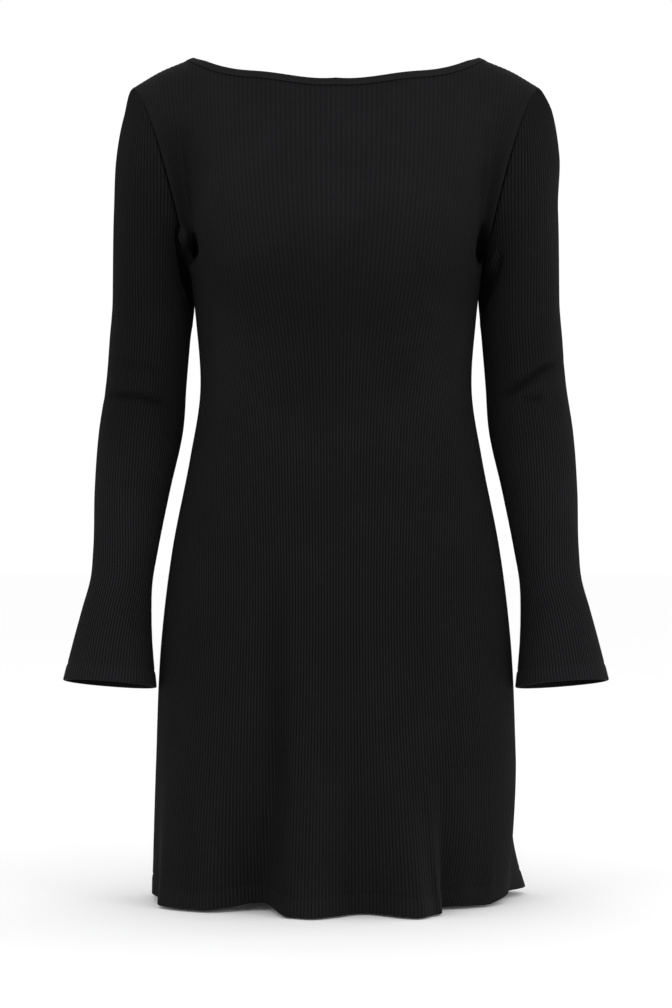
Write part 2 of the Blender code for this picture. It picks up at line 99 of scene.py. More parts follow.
# ------------------------ the form, as in the CAD
BODY_RINGS = table(
    "height half_width front_depth back_depth squareness",
    (HEM_HEIGHT, 0.1840, 0.115, 0.115, 2.40),
    (-0.700, 0.1795, 0.113, 0.118, 2.40),
    (-0.580, 0.1740, 0.112, 0.121, 2.35),
    (-0.490, 0.1630, 0.108, 0.117, 2.30),
    (-0.400, 0.1455, 0.099, 0.098, 2.30),
    (-0.335, 0.1355, 0.092, 0.079, 2.30),
    (-0.265, 0.1395, 0.104, 0.081, 2.30),
    (-0.225, 0.1440, 0.114, 0.087, 2.30),
    (-0.195, 0.1480, 0.117, 0.091, 2.30),
    (-0.165, 0.1530, 0.117, 0.094, 2.30),
)
FRONT_FOLDS = table(
    "turn out top",
    (-90, 0.000, -0.70),
    (-79, -0.007, -0.66),
    (-65, 0.004, -0.64),
    (-50, 0.002, -0.64),
    (-42, 0.000, -0.64),
    (-21, -0.034, -0.56),
    (-10.5, 0.020, -0.60),
    (-4.5, 0.028, -0.60),
    (5.5, -0.008, -0.66),
    (19.5, 0.030, -0.66),
    (27.5, 0.010, -0.70),
    (34.3, -0.030, -0.70),
    (50, -0.026, -0.68),
    (65, -0.020, -0.68),
    (90, -0.013, -0.70),
)
BACK_FOLDS = table(
    "turn out top",
    (-90, 0.000, -0.70),
    (-65, 0.010, -0.66),
    (-50, -0.004, -0.66),
    (-36, -0.044, -0.60),
    (-20, 0.018, -0.60),
    (-6, 0.024, -0.64),
    (10, -0.026, -0.58),
    (24, 0.018, -0.62),
    (36, -0.034, -0.66),
    (50, 0.004, -0.68),
    (65, 0.026, -0.74),
    (90, -0.013, -0.70),
)
FRONT_HEM = table(
    "turn rise",
    (-90, 0.0060), (-70, 0.0010), (-42, 0.0005), (-21, 0.0060), (-10.5, 0.0),
    (28, 0.0), (35, 0.0010), (60, 0.0005), (90, 0.0065),
)
BACK_HEM = table(
    "turn rise",
    (-90, 0.0060), (-75, 0.0020), (-50, 0.0010), (-36, 0.0045), (-20, 0.0),
    (10, 0.0030), (24, 0.0), (36, 0.0040), (60, 0.0050), (90, 0.0065),
)
SHOULDER_RIDGE = table(
    "across height",
    (0.0, 0.045),
    (0.075, 0.031),
    (0.106, 0.0175),
    (NECK_HALF_WIDTH, NECK_POINT_HEIGHT),
    (0.177, -0.0142),
    (SHOULDER_TIP[0], SHOULDER_TIP[2]),
)
FRONT_COLUMNS = table(
    "share across leave arrive_out arrive_in arrive_up",
    (0.00, 0.000, 0.250, 0.000, 0.250, 0.050),
    (0.30, 0.079, 0.250, 0.010, 0.250, 0.040),
    (NECK_TURN / SEAM_TURN, NECK_HALF_WIDTH, 0.220, 0.030, 0.210, 0.000),
    (0.85, 0.184, 0.200, 0.050, 0.200, 0.020),
    (1.00, SHOULDER_TIP[0], 0.000, 0.060, 0.200, 0.020),
)
BACK_COLUMNS = table(
    "share across leave arrive_out arrive_in arrive_up",
    (0.00, 0.000, 0.240, 0.000, 0.240, 0.050),
    (0.30, 0.079, 0.240, 0.010, 0.240, 0.040),
    (NECK_TURN / SEAM_TURN, NECK_HALF_WIDTH, 0.210, 0.030, 0.200, 0.005),
    (0.85, 0.184, 0.200, 0.045, 0.190, 0.020),
    (1.00, SHOULDER_TIP[0], 0.000, 0.050, 0.190, 0.020),
)
SLEEVE_RINGS = table(
    "height across back half_width half_depth front_rise outer_rise",
    (-0.624, 0.2238, -0.030, 0.0460, 0.0400, 0.0055, 0.0035),
    (-0.582, 0.2208, -0.025, 0.0388, 0.0365, 0.0050, 0.0025),
    (-0.552, 0.2175, -0.021, 0.0343, 0.0345, 0.0045, 0.0020),
    (-0.522, 0.2132, -0.017, 0.0307, 0.0340, 0.0040, 0.0015),
    (-0.492, 0.2096, -0.012, 0.0320, 0.0365, 0.0030, 0.0010),
    (-0.432, 0.2035, -0.001, 0.0375, 0.0430, 0.0010, 0.0005),
    (-0.372, 0.1951, 0.006, 0.0420, 0.0480, 0.0000, 0.0000),
    (-0.327, 0.1899, 0.004, 0.0402, 0.0500, 0.0000, 0.0000),
    (-0.267, 0.1848, 0.000, 0.0403, 0.0520, 0.0000, 0.0000),
)
CAP_PULLS = table(
    "leave_out leave_forward leave_down arrive_out arrive_forward arrive_down",
    (0.085, 0.000, 0.140, 0.008, 0.000, 0.240),      # over the shoulder
    (0.085, 0.010, 0.100, 0.000, -0.004, 0.150),     # in front and behind
    (0.014, 0.000, 0.040, -0.004, 0.000, 0.070),     # under the arm
)
Panel = namedtuple("Panel", "name facing depth folds hem columns armhole_leave neck_depth")
FRONT = Panel("front", -1.0, "front_depth", FRONT_FOLDS, FRONT_HEM, FRONT_COLUMNS, 0.26, 0.0815)
BACK = Panel("back", 1.0, "back_depth", BACK_FOLDS, BACK_HEM, BACK_COLUMNS, 0.24, 0.0660)

# ------------------------ the knit
SAMPLES_PER_RIB = 4  # trough, flank, crest, flank
RIB_PROUD = 0.00015  # how far a crest stands out from the solid's face
RIB_SUNK = 0.00045  # how far a trough lies below it
RIB_PROFILE = (-RIB_SUNK, 0.0, RIB_PROUD, 0.0)

# Rib pitch by height: the cloth is stretched over the chest, and eases out again at the hem.
BODY_PITCH = table(
    "height pitch",
    (HEM_HEIGHT, 0.00350), (-0.760, 0.00320), (-0.645, 0.00290), (-0.540, 0.00280),
    (-0.440, 0.00290), (-0.375, 0.00303), (-0.300, 0.00345), (-0.220, 0.00415),
    (-0.150, 0.00470), (-0.060, 0.00500), (0.0, 0.00505),
)
SLEEVE_PITCH = table(
    "height pitch",
    (-0.630, 0.00320), (-0.560, 0.00275), (-0.480, 0.00270),
    (-0.400, 0.00290), (-0.300, 0.00300), (-0.200, 0.00300),
)
RELAXED_PITCH = 0.0031
STRETCH_FLATTENS = 1.8  # power by which stretch makes the ribs shallow
FOLD_SHARE_OF_RIBS = 0.5  # how far the ribs follow the extra cloth that a fold takes up
RIB_LEAN = 0.5  # how far the ribs beside the armhole lean along it


# ------------------------ curves
def smooth_step(share):
    """Ease from 0 to 1 with level ends."""
    share = np.clip(share, 0.0, 1.0)
    return share * share * (3.0 - 2.0 * share)


def hermite(start, end, leave, arrive, share):
    """Cubic from start to end that leaves and arrives with the given pulls."""
    square = share * share
    cube = square * share
    return ((2.0 * cube - 3.0 * square + 1.0) * start + (cube - 2.0 * square + share) * leave
            + (3.0 * square - 2.0 * cube) * end + (cube - square) * arrive)


def through(stations, values, places):
    """A smooth curve through values at stations, read at places."""
    pulls = np.gradient(values, stations, axis=0)
    index = np.clip(np.searchsorted(stations, places) - 1, 0, len(stations) - 2)
    span = stations[index + 1] - stations[index]
    share = (places - stations[index]) / span
    if values.ndim > 1:
        span = span[:, None]
        share = share[:, None]
    leave = pulls[index] * span
    return hermite(values[index], values[index + 1], leave, pulls[index + 1] * span, share)


def along(rows, column, places):
    """One column of a table, read as a smooth curve over its first column."""
    stations = np.array([row[0] for row in rows], dtype=float)
    values = np.array([getattr(row, column) for row in rows], dtype=float)
    return through(stations, values, np.asarray(places, dtype=float))


def stepped(places, values, turns):
    """Values at a few places round a row, eased from each one to the next."""
    total = values[0] + 0.0 * turns
    for here in range(len(values) - 1):
        share = (turns - places[here]) / (places[here + 1] - places[here])
        total = total + (values[here + 1] - values[here]) * smooth_step(share)
    return total


def unit(vectors):
    return vectors / np.maximum(np.linalg.norm(vectors, axis=-1, keepdims=True), 1e-12)


def points(x, y, z):
    """Stack three coordinate arrays, each as wide as the widest, into points."""
    return np.stack(np.broadcast_arrays(x, y, z), axis=-1).astype(float)


def ditch(distance, width):
    """A soft groove, 1 in its middle."""
    return np.exp(-(distance / width) ** 2)


# ------------------------ form of the front and back
def fold_out(folds, heights, turns):
    """How far the folds push the cloth out of its plain ring."""
    drop = (heights - HEM_HEIGHT) / (FOLD_HIGHEST - HEM_HEIGHT)
    lean = FOLD_LEAN * np.clip(drop, 0.0, 1.0)
    outs = []
    centres = []
    for fold in folds:
        grown = np.clip((fold.top - heights) / (fold.top - HEM_HEIGHT), 0.0, 1.0)
        outs.append(fold.out * grown ** FOLD_GROWTH)
        centres.append(fold.turn * (1.0 - lean * (1.0 - (fold.turn / SEAM_TURN) ** 2)))
    return stepped(centres, outs, turns)


def rounded(side, power):
    """A sine or cosine raised to a power, with its sign kept."""
    return np.sign(side) * np.abs(side) ** power


def body_point(panel, heights, turns, fold_share=1.0):
    """Point of a panel on the ring at a height, a turn away from the panel's middle."""
    half_width = along(BODY_RINGS, "half_width", heights)
    depth = along(BODY_RINGS, panel.depth, heights)
    squareness = along(BODY_RINGS, "squareness", heights)
    plain_x = rounded(np.sin(np.radians(turns)), 2.0 / squareness)
    plain_y = rounded(np.cos(np.radians(turns)), 2.0 / squareness)
    normal_x = rounded(plain_x, squareness - 1.0) / half_width
    normal_y = rounded(plain_y, squareness - 1.0) / depth
    out = fold_out(panel.folds, heights, turns) * fold_share / np.hypot(normal_x, normal_y)
    x = half_width * plain_x + out * normal_x
    y = panel.facing * (depth * plain_y + out * normal_y)
    return points(x, y, heights)


def hem_row(panel, turns):
    """Height of the hem, which lifts a little where a fold takes it back."""
    return HEM_HEIGHT + stepped(*zip(*panel.hem), turns)


def chest_row(turns):
    """Height of the chest ring, which climbs to the underarm at the side seams."""
    share = np.abs(turns) / SEAM_TURN
    climb = np.clip((share - 1.0 + UNDERARM_REACH) / UNDERARM_REACH, 0.0, 1.0) ** UNDERARM_CLIMB
    return CHEST_HEIGHT + UNDERARM_LIFT * climb


def upper_point(panel, turns, shares):
    """Point above the chest ring, a share of the way up its column to the shoulder ridge."""
    half = np.abs(turns) / SEAM_TURN
    heights = chest_row(turns)
    upward = body_point(panel, heights + RISE_STEP, turns)
    upward = upward - body_point(panel, heights - RISE_STEP, turns)
    at_armhole = smooth_step((half - 1.0 + ARMHOLE_REACH) / ARMHOLE_REACH)[..., None]
    leave = unit(upward) * along(panel.columns, "leave", half)[..., None] * (1.0 - at_armhole)
    leave = leave + points(0.0, panel.facing * panel.armhole_leave, 0.0) * at_armhole
    arrive = points(
        np.sign(turns) * along(panel.columns, "arrive_out", half),
        -panel.facing * along(panel.columns, "arrive_in", half),
        along(panel.columns, "arrive_up", half),
    )
    across = along(panel.columns, "across", half)
    ridge = points(np.sign(turns) * across, 0.0, along(SHOULDER_RIDGE, "height", across))
    return hermite(body_point(panel, heights, turns), ridge, leave, arrive, shares[..., None])


def neck_cut(panel, turns):
    """Share of each column that is left below the neck; all of it under the shoulder seam."""
    low = np.zeros(len(turns))
    high = np.ones(len(turns))
    for _ in range(BISECTIONS):
        middle = (low + high) / 2.0
        here = upper_point(panel, turns, middle)
        across = np.clip(np.abs(here[:, 0]) / NECK_HALF_WIDTH, 0.0, 1.0)
        plan = panel.neck_depth * (1.0 - across ** 2) ** NECK_ROUNDNESS
        outside = np.abs(here[:, 1]) > plan
        low = np.where(outside, middle, low)
        high = np.where(outside, high, middle)
    return np.where(np.abs(turns) >= NECK_TURN, 1.0, (low + high) / 2.0)


NECK_TABLE_TURNS = np.linspace(0.0, NECK_TURN, RULER)
NECK_TABLE_CUTS = {panel.name: neck_cut(panel, NECK_TABLE_TURNS) for panel in (FRONT, BACK)}


def panel_point(panel, stations, turns, fold_share=1.0):
    """Point of a panel.  A station runs from 0 at the hem to 1 at the chest and 2 at the top."""
    stations, turns = np.broadcast_arrays(stations, turns)
    hem = hem_row(panel, turns)
    lower = hem + np.clip(stations, 0.0, 1.0) * (chest_row(turns) - hem)
    cut = np.interp(np.abs(turns), NECK_TABLE_TURNS, NECK_TABLE_CUTS[panel.name], right=1.0)
    upper = upper_point(panel, turns, np.maximum(stations - 1.0, 0.0) * cut)
    return np.where(stations[..., None] > 1.0, upper, body_point(panel, lower, turns, fold_share))


def directions(surface, stations, turns, widest_turn, outward):
    """Steps up and sideways along a surface, one-sided at its edges, and directions out of it."""
    up = surface(np.minimum(stations + ROW_STEP, 2.0), turns)
    up = up - surface(np.maximum(stations - ROW_STEP, 0.0), turns)
    sideways = surface(stations, np.minimum(turns + TURN_STEP, widest_turn))
    sideways = sideways - surface(stations, np.maximum(turns - TURN_STEP, -widest_turn))
    return up, sideways, outward * unit(np.cross(sideways, up))


def panel_normals(panel, stations, turns):
    return directions(partial(panel_point, panel), stations, turns, SEAM_TURN, -panel.facing)[2]


# ------------------------ form of the sleeves
RIDGE_SPREAD = 26.0  # degrees of the sleeve over which the cap's outer ridge is rounded
RIDGE_REACH = 70.0  # degrees to each side of it that the rounding touches
RIDGE_SEAM = 0.16  # share of the cap below the armhole over which the rounding grows
RIDGE_END = 0.90  # station where it starts, under the cap
RIDGE_END_FADE = 0.20
RIDGE_FILL = {1.0: 1.40, -1.0: 0.35}  # share of its outline that the left and right shoulder keep
RIDGE_FILL_FOOT = -0.150
RIDGE_FILL_RISE = 0.050
ROUNDING = ((-1.0, 0.125), (-0.5, 0.25), (0.0, 0.25), (0.5, 0.25), (1.0, 0.125))  # share, weight


def sleeve_ring(heights, turns):
    """Point of the left sleeve's ring; a turn of 0 is its outer side and 90 its front."""
    outer = np.cos(np.radians(turns))
    front = np.sin(np.radians(turns))
    size = {column: along(SLEEVE_RINGS, column, heights) for column in SLEEVE_RINGS[0]._fields[1:]}
    return points(
        size["across"] + size["half_width"] * outer,
        size["back"] - size["half_depth"] * front,
        heights + size["front_rise"] * front + size["outer_rise"] * outer,
    )


def armhole_point(turns):
    """Point of the left armhole: a turn of 0 is the shoulder tip and 180 the underarm."""
    shares = 1.0 - np.abs(turns) / 180.0
    edge = np.full(np.shape(turns), SEAM_TURN)
    front = upper_point(FRONT, edge, shares)
    back = upper_point(BACK, edge, shares)
    return np.where(np.asarray(turns)[..., None] >= 0.0, front, back)


def cap_pull(column, turns):
    """One pull of the sleeve cap round the armhole; the rear mirrors the front."""
    return stepped((0.0, 90.0, 180.0), [getattr(row, column) for row in CAP_PULLS], np.abs(turns))


def sleeve_point(stations, turns):
    """Point of the left sleeve.  A station runs from 0 at the cuff to 1 at the top of the arm and
    2 at the armhole."""
    stations, turns = np.broadcast_arrays(stations, turns)
    lowest = SLEEVE_RINGS[0].height
    heights = lowest + np.clip(stations, 0.0, 1.0) * (SLEEVE_RINGS[-1].height - lowest)
    rear = np.where(turns < 0.0, -1.0, 1.0)
    leave, arrive = [
        points(
            cap_pull(end + "_out", turns),
            -rear * cap_pull(end + "_forward", turns),
            -cap_pull(end + "_down", turns),
        )
        for end in ("leave", "arrive")
    ]
    ring = sleeve_ring(heights, turns)
    share = (2.0 - np.maximum(stations, 1.0))[..., None]
    cap = hermite(armhole_point(turns), ring, leave, arrive, share)
    return np.where(stations[..., None] > 1.0, cap, ring)


def softened(stations, turns, spread):
    """Point of the left sleeve, averaged over a spread of turns to both sides."""
    return sum(weight * sleeve_point(stations, turns + share * spread) for share, weight in ROUNDING)


def round_sleeve_point(side, stations, turns):
    """Point of the left sleeve, with the ridge rounded off that runs down from the shoulder tip.
    Part of what the ridge's outline loses by that is filled up again on each side's own arm."""
    stations, turns = np.broadcast_arrays(stations, turns)
    nearness = 1.0 - smooth_step(np.abs(turns) / RIDGE_REACH)
    widest = RIDGE_SPREAD * smooth_step((2.0 - stations) / RIDGE_SEAM)
    widest = widest * smooth_step((stations - RIDGE_END) / RIDGE_END_FADE)
    row = stations[:, :1]
    ridge = sleeve_point(row, np.zeros(row.shape))
    lost = ridge - softened(row, np.zeros(row.shape), widest[:, :1])
    fill = smooth_step((ridge[..., 2] - RIDGE_FILL_FOOT) / RIDGE_FILL_RISE) * RIDGE_FILL[side] * nearness
    return softened(stations, turns, widest * nearness) + lost * fill[..., None]


# ------------------------ rib columns
RIB_MERGE = 1.0 / 3.0  # a column less than this share of a step from a seam joins it

# The grid of a piece.  Ribs are counted from its middle; to_seam and to_top are distances to its
# edges, and lengths are those from its hem or cuff.
Laid = namedtuple(
    "Laid", "turns ribs cut_left cut_right ease base up sideways normals to_seam lengths to_top")


def travelled(line):
    """Distance along the points of a line, or along each row of a grid."""
    runs = np.linalg.norm(np.diff(line, axis=-2), axis=-1)
    return np.concatenate((np.zeros((*runs.shape[:-1], 1)), np.cumsum(runs, axis=-1)), axis=-1)


def from_middle(rows_of_points):
    """Distance along each row from its middle point."""
    distance = travelled(rows_of_points)
    return distance - distance[:, [distance.shape[1] // 2]]


def leaned(level, ruler, pitches, chest_row_number):
    """Lean the ribs of the rows above the chest towards the columns that run beside the armhole."""
    share = RIB_LEAN * smooth_step(np.abs(ruler) / SEAM_TURN)
    upper = slice(chest_row_number + 1, None)
    beside = level[chest_row_number] * (pitches[upper] / pitches[chest_row_number])[:, None]
    moved = level.copy()
    moved[upper] = level[upper] * (1.0 - share) + beside * share
    return moved


def upright(level, measured, ring_row_number):
    """Make the ribs of the rows above the arm's top ring stand straight up from that ring."""
    plan = measured[..., :2]
    ring = plan[ring_row_number]
    middle = (ring.max(axis=0) + ring.min(axis=0)) / 2.0
    reach = (ring.max(axis=0) - ring.min(axis=0)) / 2.0
    away = (plan - middle) / reach
    angle = np.unwrap(np.arctan2(-away[..., 1], away[..., 0]), axis=1)
    angle = angle - np.round(angle[:, RULER // 2] / (2.0 * math.pi))[:, None] * 2.0 * math.pi
    moved = level.copy()
    for row in range(ring_row_number + 1, len(level)):
        moved[row] = np.interp(angle[row], angle[ring_row_number], level[ring_row_number])
    return moved


def lay_ribs(surface, stations, ruler, measured, level, pitches, outward):
    """The grid of a piece: rows at the stations, and rib columns from the middle to both seams.

    Columns are a quarter of a rib apart by the level distance along the row.  Those past a seam are
    cut off: they collapse onto it."""
    step = (pitches / SAMPLES_PER_RIB)[:, None]
    left_end = level[:, :1]
    right_end = level[:, -1:]
    most = int(np.ceil(np.max(np.maximum(right_end, -left_end) / step) / SAMPLES_PER_RIB))
    places = np.arange(-most * SAMPLES_PER_RIB, most * SAMPLES_PER_RIB + 1) * step
    cut_left = places < left_end + step * RIB_MERGE
    cut_right = places > right_end - step * RIB_MERGE
    places = np.where(cut_left, left_end, np.where(cut_right, right_end, places))
    turns = np.array([np.interp(row, distance, ruler) for row, distance in zip(places, level)])
    real = from_middle(measured)
    reached = np.array([np.interp(row, ruler, distance) for row, distance in zip(turns, real)])
    to_seam = np.minimum(real[:, -1:] - reached, reached - real[:, :1])
    rows = np.broadcast_to(stations[:, None], turns.shape)
    base = surface(rows, turns)
    up, sideways, normals = directions(surface, rows, turns, ruler[-1], outward)
    lengths = travelled(base.transpose(1, 0, 2)).T
    ease = (RELAXED_PITCH / pitches[:, None]) ** STRETCH_FLATTENS
    return Laid(
        turns, places / (step * SAMPLES_PER_RIB), cut_left, cut_right, ease, base, up, sideways, normals,
        to_seam, lengths, lengths[-1:] - lengths,
    )


# ------------------------ creases and hollows
SIDE_FADE = 0.02  # depth at the side over which a mark of the front or back fades out
CREASE_PIECES = 24  # straight pieces that stand for a crease's curve
CREASE_FADE = 0.30  # share of its length over which a crease fades at each end
CREASE_REACH = 3.0  # widths to each side of a crease that are looked at
HOLLOW_STEEPNESS = 2.5  # power that makes the sides of a hollow steep
MILLIMETRE = 0.001


def creases(*rows):
    """Creases, each from its width, its depth and the x and z of its line, in millimetres."""
    return [(row[0] * MILLIMETRE, row[1] * MILLIMETRE, np.array(row[2:]) * MILLIMETRE) for row in rows]


# A fold curls round the hollow under each arm, with a dark line on its far side.
RIGHT_UNDERARM_CREASES = creases(
    (2.8, -5.0, (-140, -170), (-148, -174.5), (-151, -184), (-150, -196), (-147, -208), (-144, -220)),
    (2.5, 8.5, (-156, -169), (-154.5, -185), (-153, -200), (-150, -220), (-146, -243)),
)
LEFT_UNDERARM_CREASES = creases(
    (2.6, -3.0, (148, -230), (152, -214), (157.5, -200), (159, -188)),
    (3.0, 3.5, (149, -250), (154.5, -229), (160, -209), (162.5, -190)),
)
FRONT_CREASES = RIGHT_UNDERARM_CREASES + LEFT_UNDERARM_CREASES + creases(
    (26, 1.6, (-130, -265), (-55, -269), (0, -265), (60, -269), (130, -265)),
    (40, 2.0, (-120, -315), (-50, -320), (60, -318), (120, -312)),
    (11.5, 2.7, (-58, -460), (-57, -620), (-56, -770), (-57, -960)),
    (11, 0.8, (19, -600), (15, -760), (14, -940)),
    (12, 0.7, (104, -600), (110, -740), (112, -880)),
    (9, 0.9, (-143, -660), (-143, -780), (-143, -930)),
)
BACK_CREASES = creases(
    (8, 1.8, (-100, -306), (-50, -318), (10, -315)),
    (9, 1.8, (105, -324), (50, -334), (-30, -330)),
    (9, 1.4, (-80, -350), (-10, -356), (70, -348)),
)
RIGHT_SLEEVE_CREASES = RIGHT_UNDERARM_CREASES + creases(
    (4.0, 4.6, (-238, -340), (-221, -339), (-200, -339.5), (-183, -343), (-156, -351)),
    (6.0, -1.8, (-232, -331), (-205, -330), (-182, -334), (-160, -340)),
    (6.2, -1.8, (-234, -348), (-205, -347), (-182, -352), (-160, -359)),
    (5.0, 1.9, (-218, -305), (-190, -311), (-164, -321)),
)
LEFT_SLEEVE_CREASES = LEFT_UNDERARM_CREASES + creases(
    (4.2, 4.6, (232, -303), (208, -311), (190, -323), (172, -334), (152, -340)),
    (6.4, -1.8, (225, -316), (206, -323), (192, -335), (178, -344)),
    (6.0, -1.6, (222, -293), (200, -302), (182, -313), (168, -322)),
    (3.0, 3.8, (207, -340), (193, -342), (178, -340)),
)
LEFT_REAR_CREASES = creases(
    (4.0, 3.0, (220, -325), (200, -333), (180, -330), (162, -322)),
    (3.4, 2.2, (218, -346), (198, -352), (176, -348)),
    (4.0, 2.0, (210, -304), (195, -311), (178, -307)),
)
RIGHT_REAR_CREASES = [(width, depth, line * (-1.0, 1.0)) for width, depth, line in LEFT_REAR_CREASES]

# A soft oval patch.  Its strength is a depth for a hollow, and a share of the light for a painted shadow.
PATCH = "x z half_width half_height lean strength"
FRONT_HOLLOWS = table(
    PATCH,
    (0.1436, -0.1910, 0.0060, 0.0170, -6.0, 0.042),
    (0.1500, -0.2310, 0.0038, 0.0270, -4.0, 0.022),
    (-0.1390, -0.1925, 0.0038, 0.0098, 4.0, 0.036),
    (-0.1440, -0.1960, 0.0066, 0.0150, -12.0, 0.020),
    (-0.1482, -0.2310, 0.0036, 0.0250, 7.0, 0.016),
)
BACK_HOLLOWS = table(
    PATCH,
    (0.1380, -0.1800, 0.0060, 0.0130, -5.0, 0.006),
    (-0.1390, -0.1830, 0.0060, 0.0170, 6.0, 0.008),
)


def on_side(grid, facing):
    """1 on the side of the cloth that faces front or back, and 0 on the other."""
    return smooth_step(0.5 + facing * grid[..., 1] / SIDE_FADE)


def crease_out(lines, grid, facing):
    """Outward push of a list of creases.  Each is a soft trough, or a ridge if its depth is
    negative, drawn as a line in x and z on the side of the cloth that faces front or back."""
    total = np.zeros(grid.shape[:2])
    shown = on_side(grid, facing)
    flat = grid[..., [0, 2]]
    for width, depth, line in lines:
        lengths = travelled(line)
        places = through(lengths, line, np.linspace(0.0, lengths[-1], CREASE_PIECES + 1))
        reach = CREASE_REACH * width
        near = np.all((flat > places.min(axis=0) - reach) & (flat < places.max(axis=0) + reach), axis=-1)
        spots = flat[near]
        best = np.full(len(spots), np.inf)
        gone = np.zeros(len(spots))
        for at in range(CREASE_PIECES):
            run = places[at + 1] - places[at]
            share = np.clip((spots - places[at]) @ run / (run @ run), 0.0, 1.0)
            apart = np.linalg.norm(spots - places[at] - share[:, None] * run, axis=-1)
            gone = np.where(apart < best, (at + share) / CREASE_PIECES, gone)
            best = np.minimum(best, apart)
        fade = smooth_step(gone / CREASE_FADE) * smooth_step((1.0 - gone) / CREASE_FADE)
        total[near] -= depth * fade * ditch(best, width) * shown[near]
    return total


def patch_share(grid, patch, steepness):
    """1 in the middle of a small oval patch in x and z, falling to 0 outside it."""
    lean = math.radians(patch.lean)
    from_x = grid[..., 0] - patch.x
    from_z = grid[..., 2] - patch.z
    across = (from_x * math.cos(lean) + from_z * math.sin(lean)) / patch.half_width
    upward = (from_z * math.cos(lean) - from_x * math.sin(lean)) / patch.half_height
    return np.exp(-(across ** 2 + upward ** 2) ** steepness)


def hollowed(base):
    """Push the hollows into the front and the back."""
    for hollows, facing in ((FRONT_HOLLOWS, -1.0), (BACK_HOLLOWS, 1.0)):
        shown = on_side(base, facing)
        base = base.copy()
        for hollow in hollows:
            share = patch_share(base, hollow, HOLLOW_STEEPNESS)
            base[..., 1] -= facing * hollow.strength * share * shown
    return base


# ------------------------ painted light and shade on the cloth
SEAM_PAINTED_SHADE = 0.55  # painted shade in the ditch of a seam: how much darker the knit is drawn there
SEAM_PAINTED_SHADE_WIDTH = 0.0022
SHOULDER_SEAM_HIDDEN = 0.70  # how far that painted shade is taken off the seams over the shoulder
SEAM_SHOWS_BELOW = -0.110
SEAM_SHOWS_FADE = 0.060
CREASE_PAINTED_SHADE = 0.52  # painted shade: how much darker the bottom of a crease is drawn
CREASE_PAINTED_SHADE_DEPTH = 0.0050
INNER_PAINTED_SHADE = 0.55  # painted shade on the wrong side of the knit, inside the dress
ARMHOLE_PAINTED_SHADE = 0.50  # painted shade: how much darker the body is drawn where it turns in to the armhole
ARMHOLE_SHADE_WIDTH = 0.0090
ARMHOLE_SHADE_HIGHEST = -0.120
ARMHOLE_SHADE_LOWEST = -0.250
ARMHOLE_SHADE_FADE = 0.040
# Painted light over the turned-up band of the hem and the cuffs, for light thrown up from the floor.
HEM_PAINTED_LIGHT = 0.12
HEM_PAINTED_LIGHT_FADE = 0.004

# Painted light and shade on the front by height: painted shade under the bust, a little painted light above
# and below it.
FRONT_PAINTED_LIGHT = table(
    "height tone",
    (-0.400, 1.00), (-0.330, 1.05), (-0.285, 0.95), (-0.255, 0.82), (-0.235, 0.72),
    (-0.205, 0.77), (-0.180, 0.87), (-0.150, 1.02), (-0.120, 1.04),
)
# Painted shade on the back, a little darker at the underarm's height.
BACK_PAINTED_LIGHT = table("height tone", (-0.400, 1.00), (-0.250, 0.96), (-0.120, 1.00))
# Painted light and shade on the sleeves by height: lighter towards the cuffs, darker from the elbow up.
RIGHT_SLEEVE_PAINTED_LIGHT = table(
    "height tone",
    (-0.620, 1.26), (-0.450, 1.30), (-0.400, 1.10), (-0.360, 0.87), (-0.320, 0.80),
    (-0.120, 0.84), (-0.080, 1.00),
)
LEFT_SLEEVE_PAINTED_LIGHT = table(
    "height tone",
    (-0.620, 1.28), (-0.520, 1.36), (-0.450, 1.34), (-0.400, 1.16), (-0.350, 0.98), (-0.080, 0.96),
)
# Painted shadow on the front beside the wearer's right armhole.
FRONT_PAINTED_SHADOWS = table(PATCH, (-0.152, -0.112, 0.026, 0.062, 0.0, 0.26))


def armhole_painted_shade(heights, to_seam):
    """How light the body is under the painted shade where it turns in to the armhole."""
    window = smooth_step((heights - ARMHOLE_SHADE_LOWEST) / ARMHOLE_SHADE_FADE)
    window = window * smooth_step((ARMHOLE_SHADE_HIGHEST - heights) / ARMHOLE_SHADE_FADE)
    return 1.0 - ARMHOLE_PAINTED_SHADE * window * ditch(to_seam, ARMHOLE_SHADE_WIDTH)


def painted_shadow_light(grid, painted_shadows):
    """How light the cloth is under soft patches of painted shadow."""
    return math.prod(1.0 - painted_shadow.strength * patch_share(grid, painted_shadow, 1.0) for painted_shadow in painted_shadows)


def painted_light_and_shade(painted_light_by_height, heights, to_seam, to_top, to_hem, turn_up, folds):
    """Painted light and shade on the cloth: 1 when plain, less as painted shade by a seam and in a crease,
    more as painted light where the hem is double.  The painted seam shade hardly shows on the shoulder."""
    shown = 1.0 - SHOULDER_SEAM_HIDDEN * smooth_step((heights - SEAM_SHOWS_BELOW) / SEAM_SHOWS_FADE)
    tone = 1.0 - SEAM_PAINTED_SHADE * shown * ditch(to_seam, SEAM_PAINTED_SHADE_WIDTH)
    tone = tone * (1.0 - SEAM_PAINTED_SHADE * ditch(to_top, SEAM_PAINTED_SHADE_WIDTH))
    tone = tone * (1.0 - CREASE_PAINTED_SHADE * np.clip(-folds / CREASE_PAINTED_SHADE_DEPTH, 0.0, 1.0))
    tone = tone * (1.0 + HEM_PAINTED_LIGHT * smooth_step((turn_up - to_hem) / HEM_PAINTED_LIGHT_FADE))
    return tone * along(painted_light_by_height, "tone", np.clip(heights, painted_light_by_height[0].height, painted_light_by_height[-1].height))


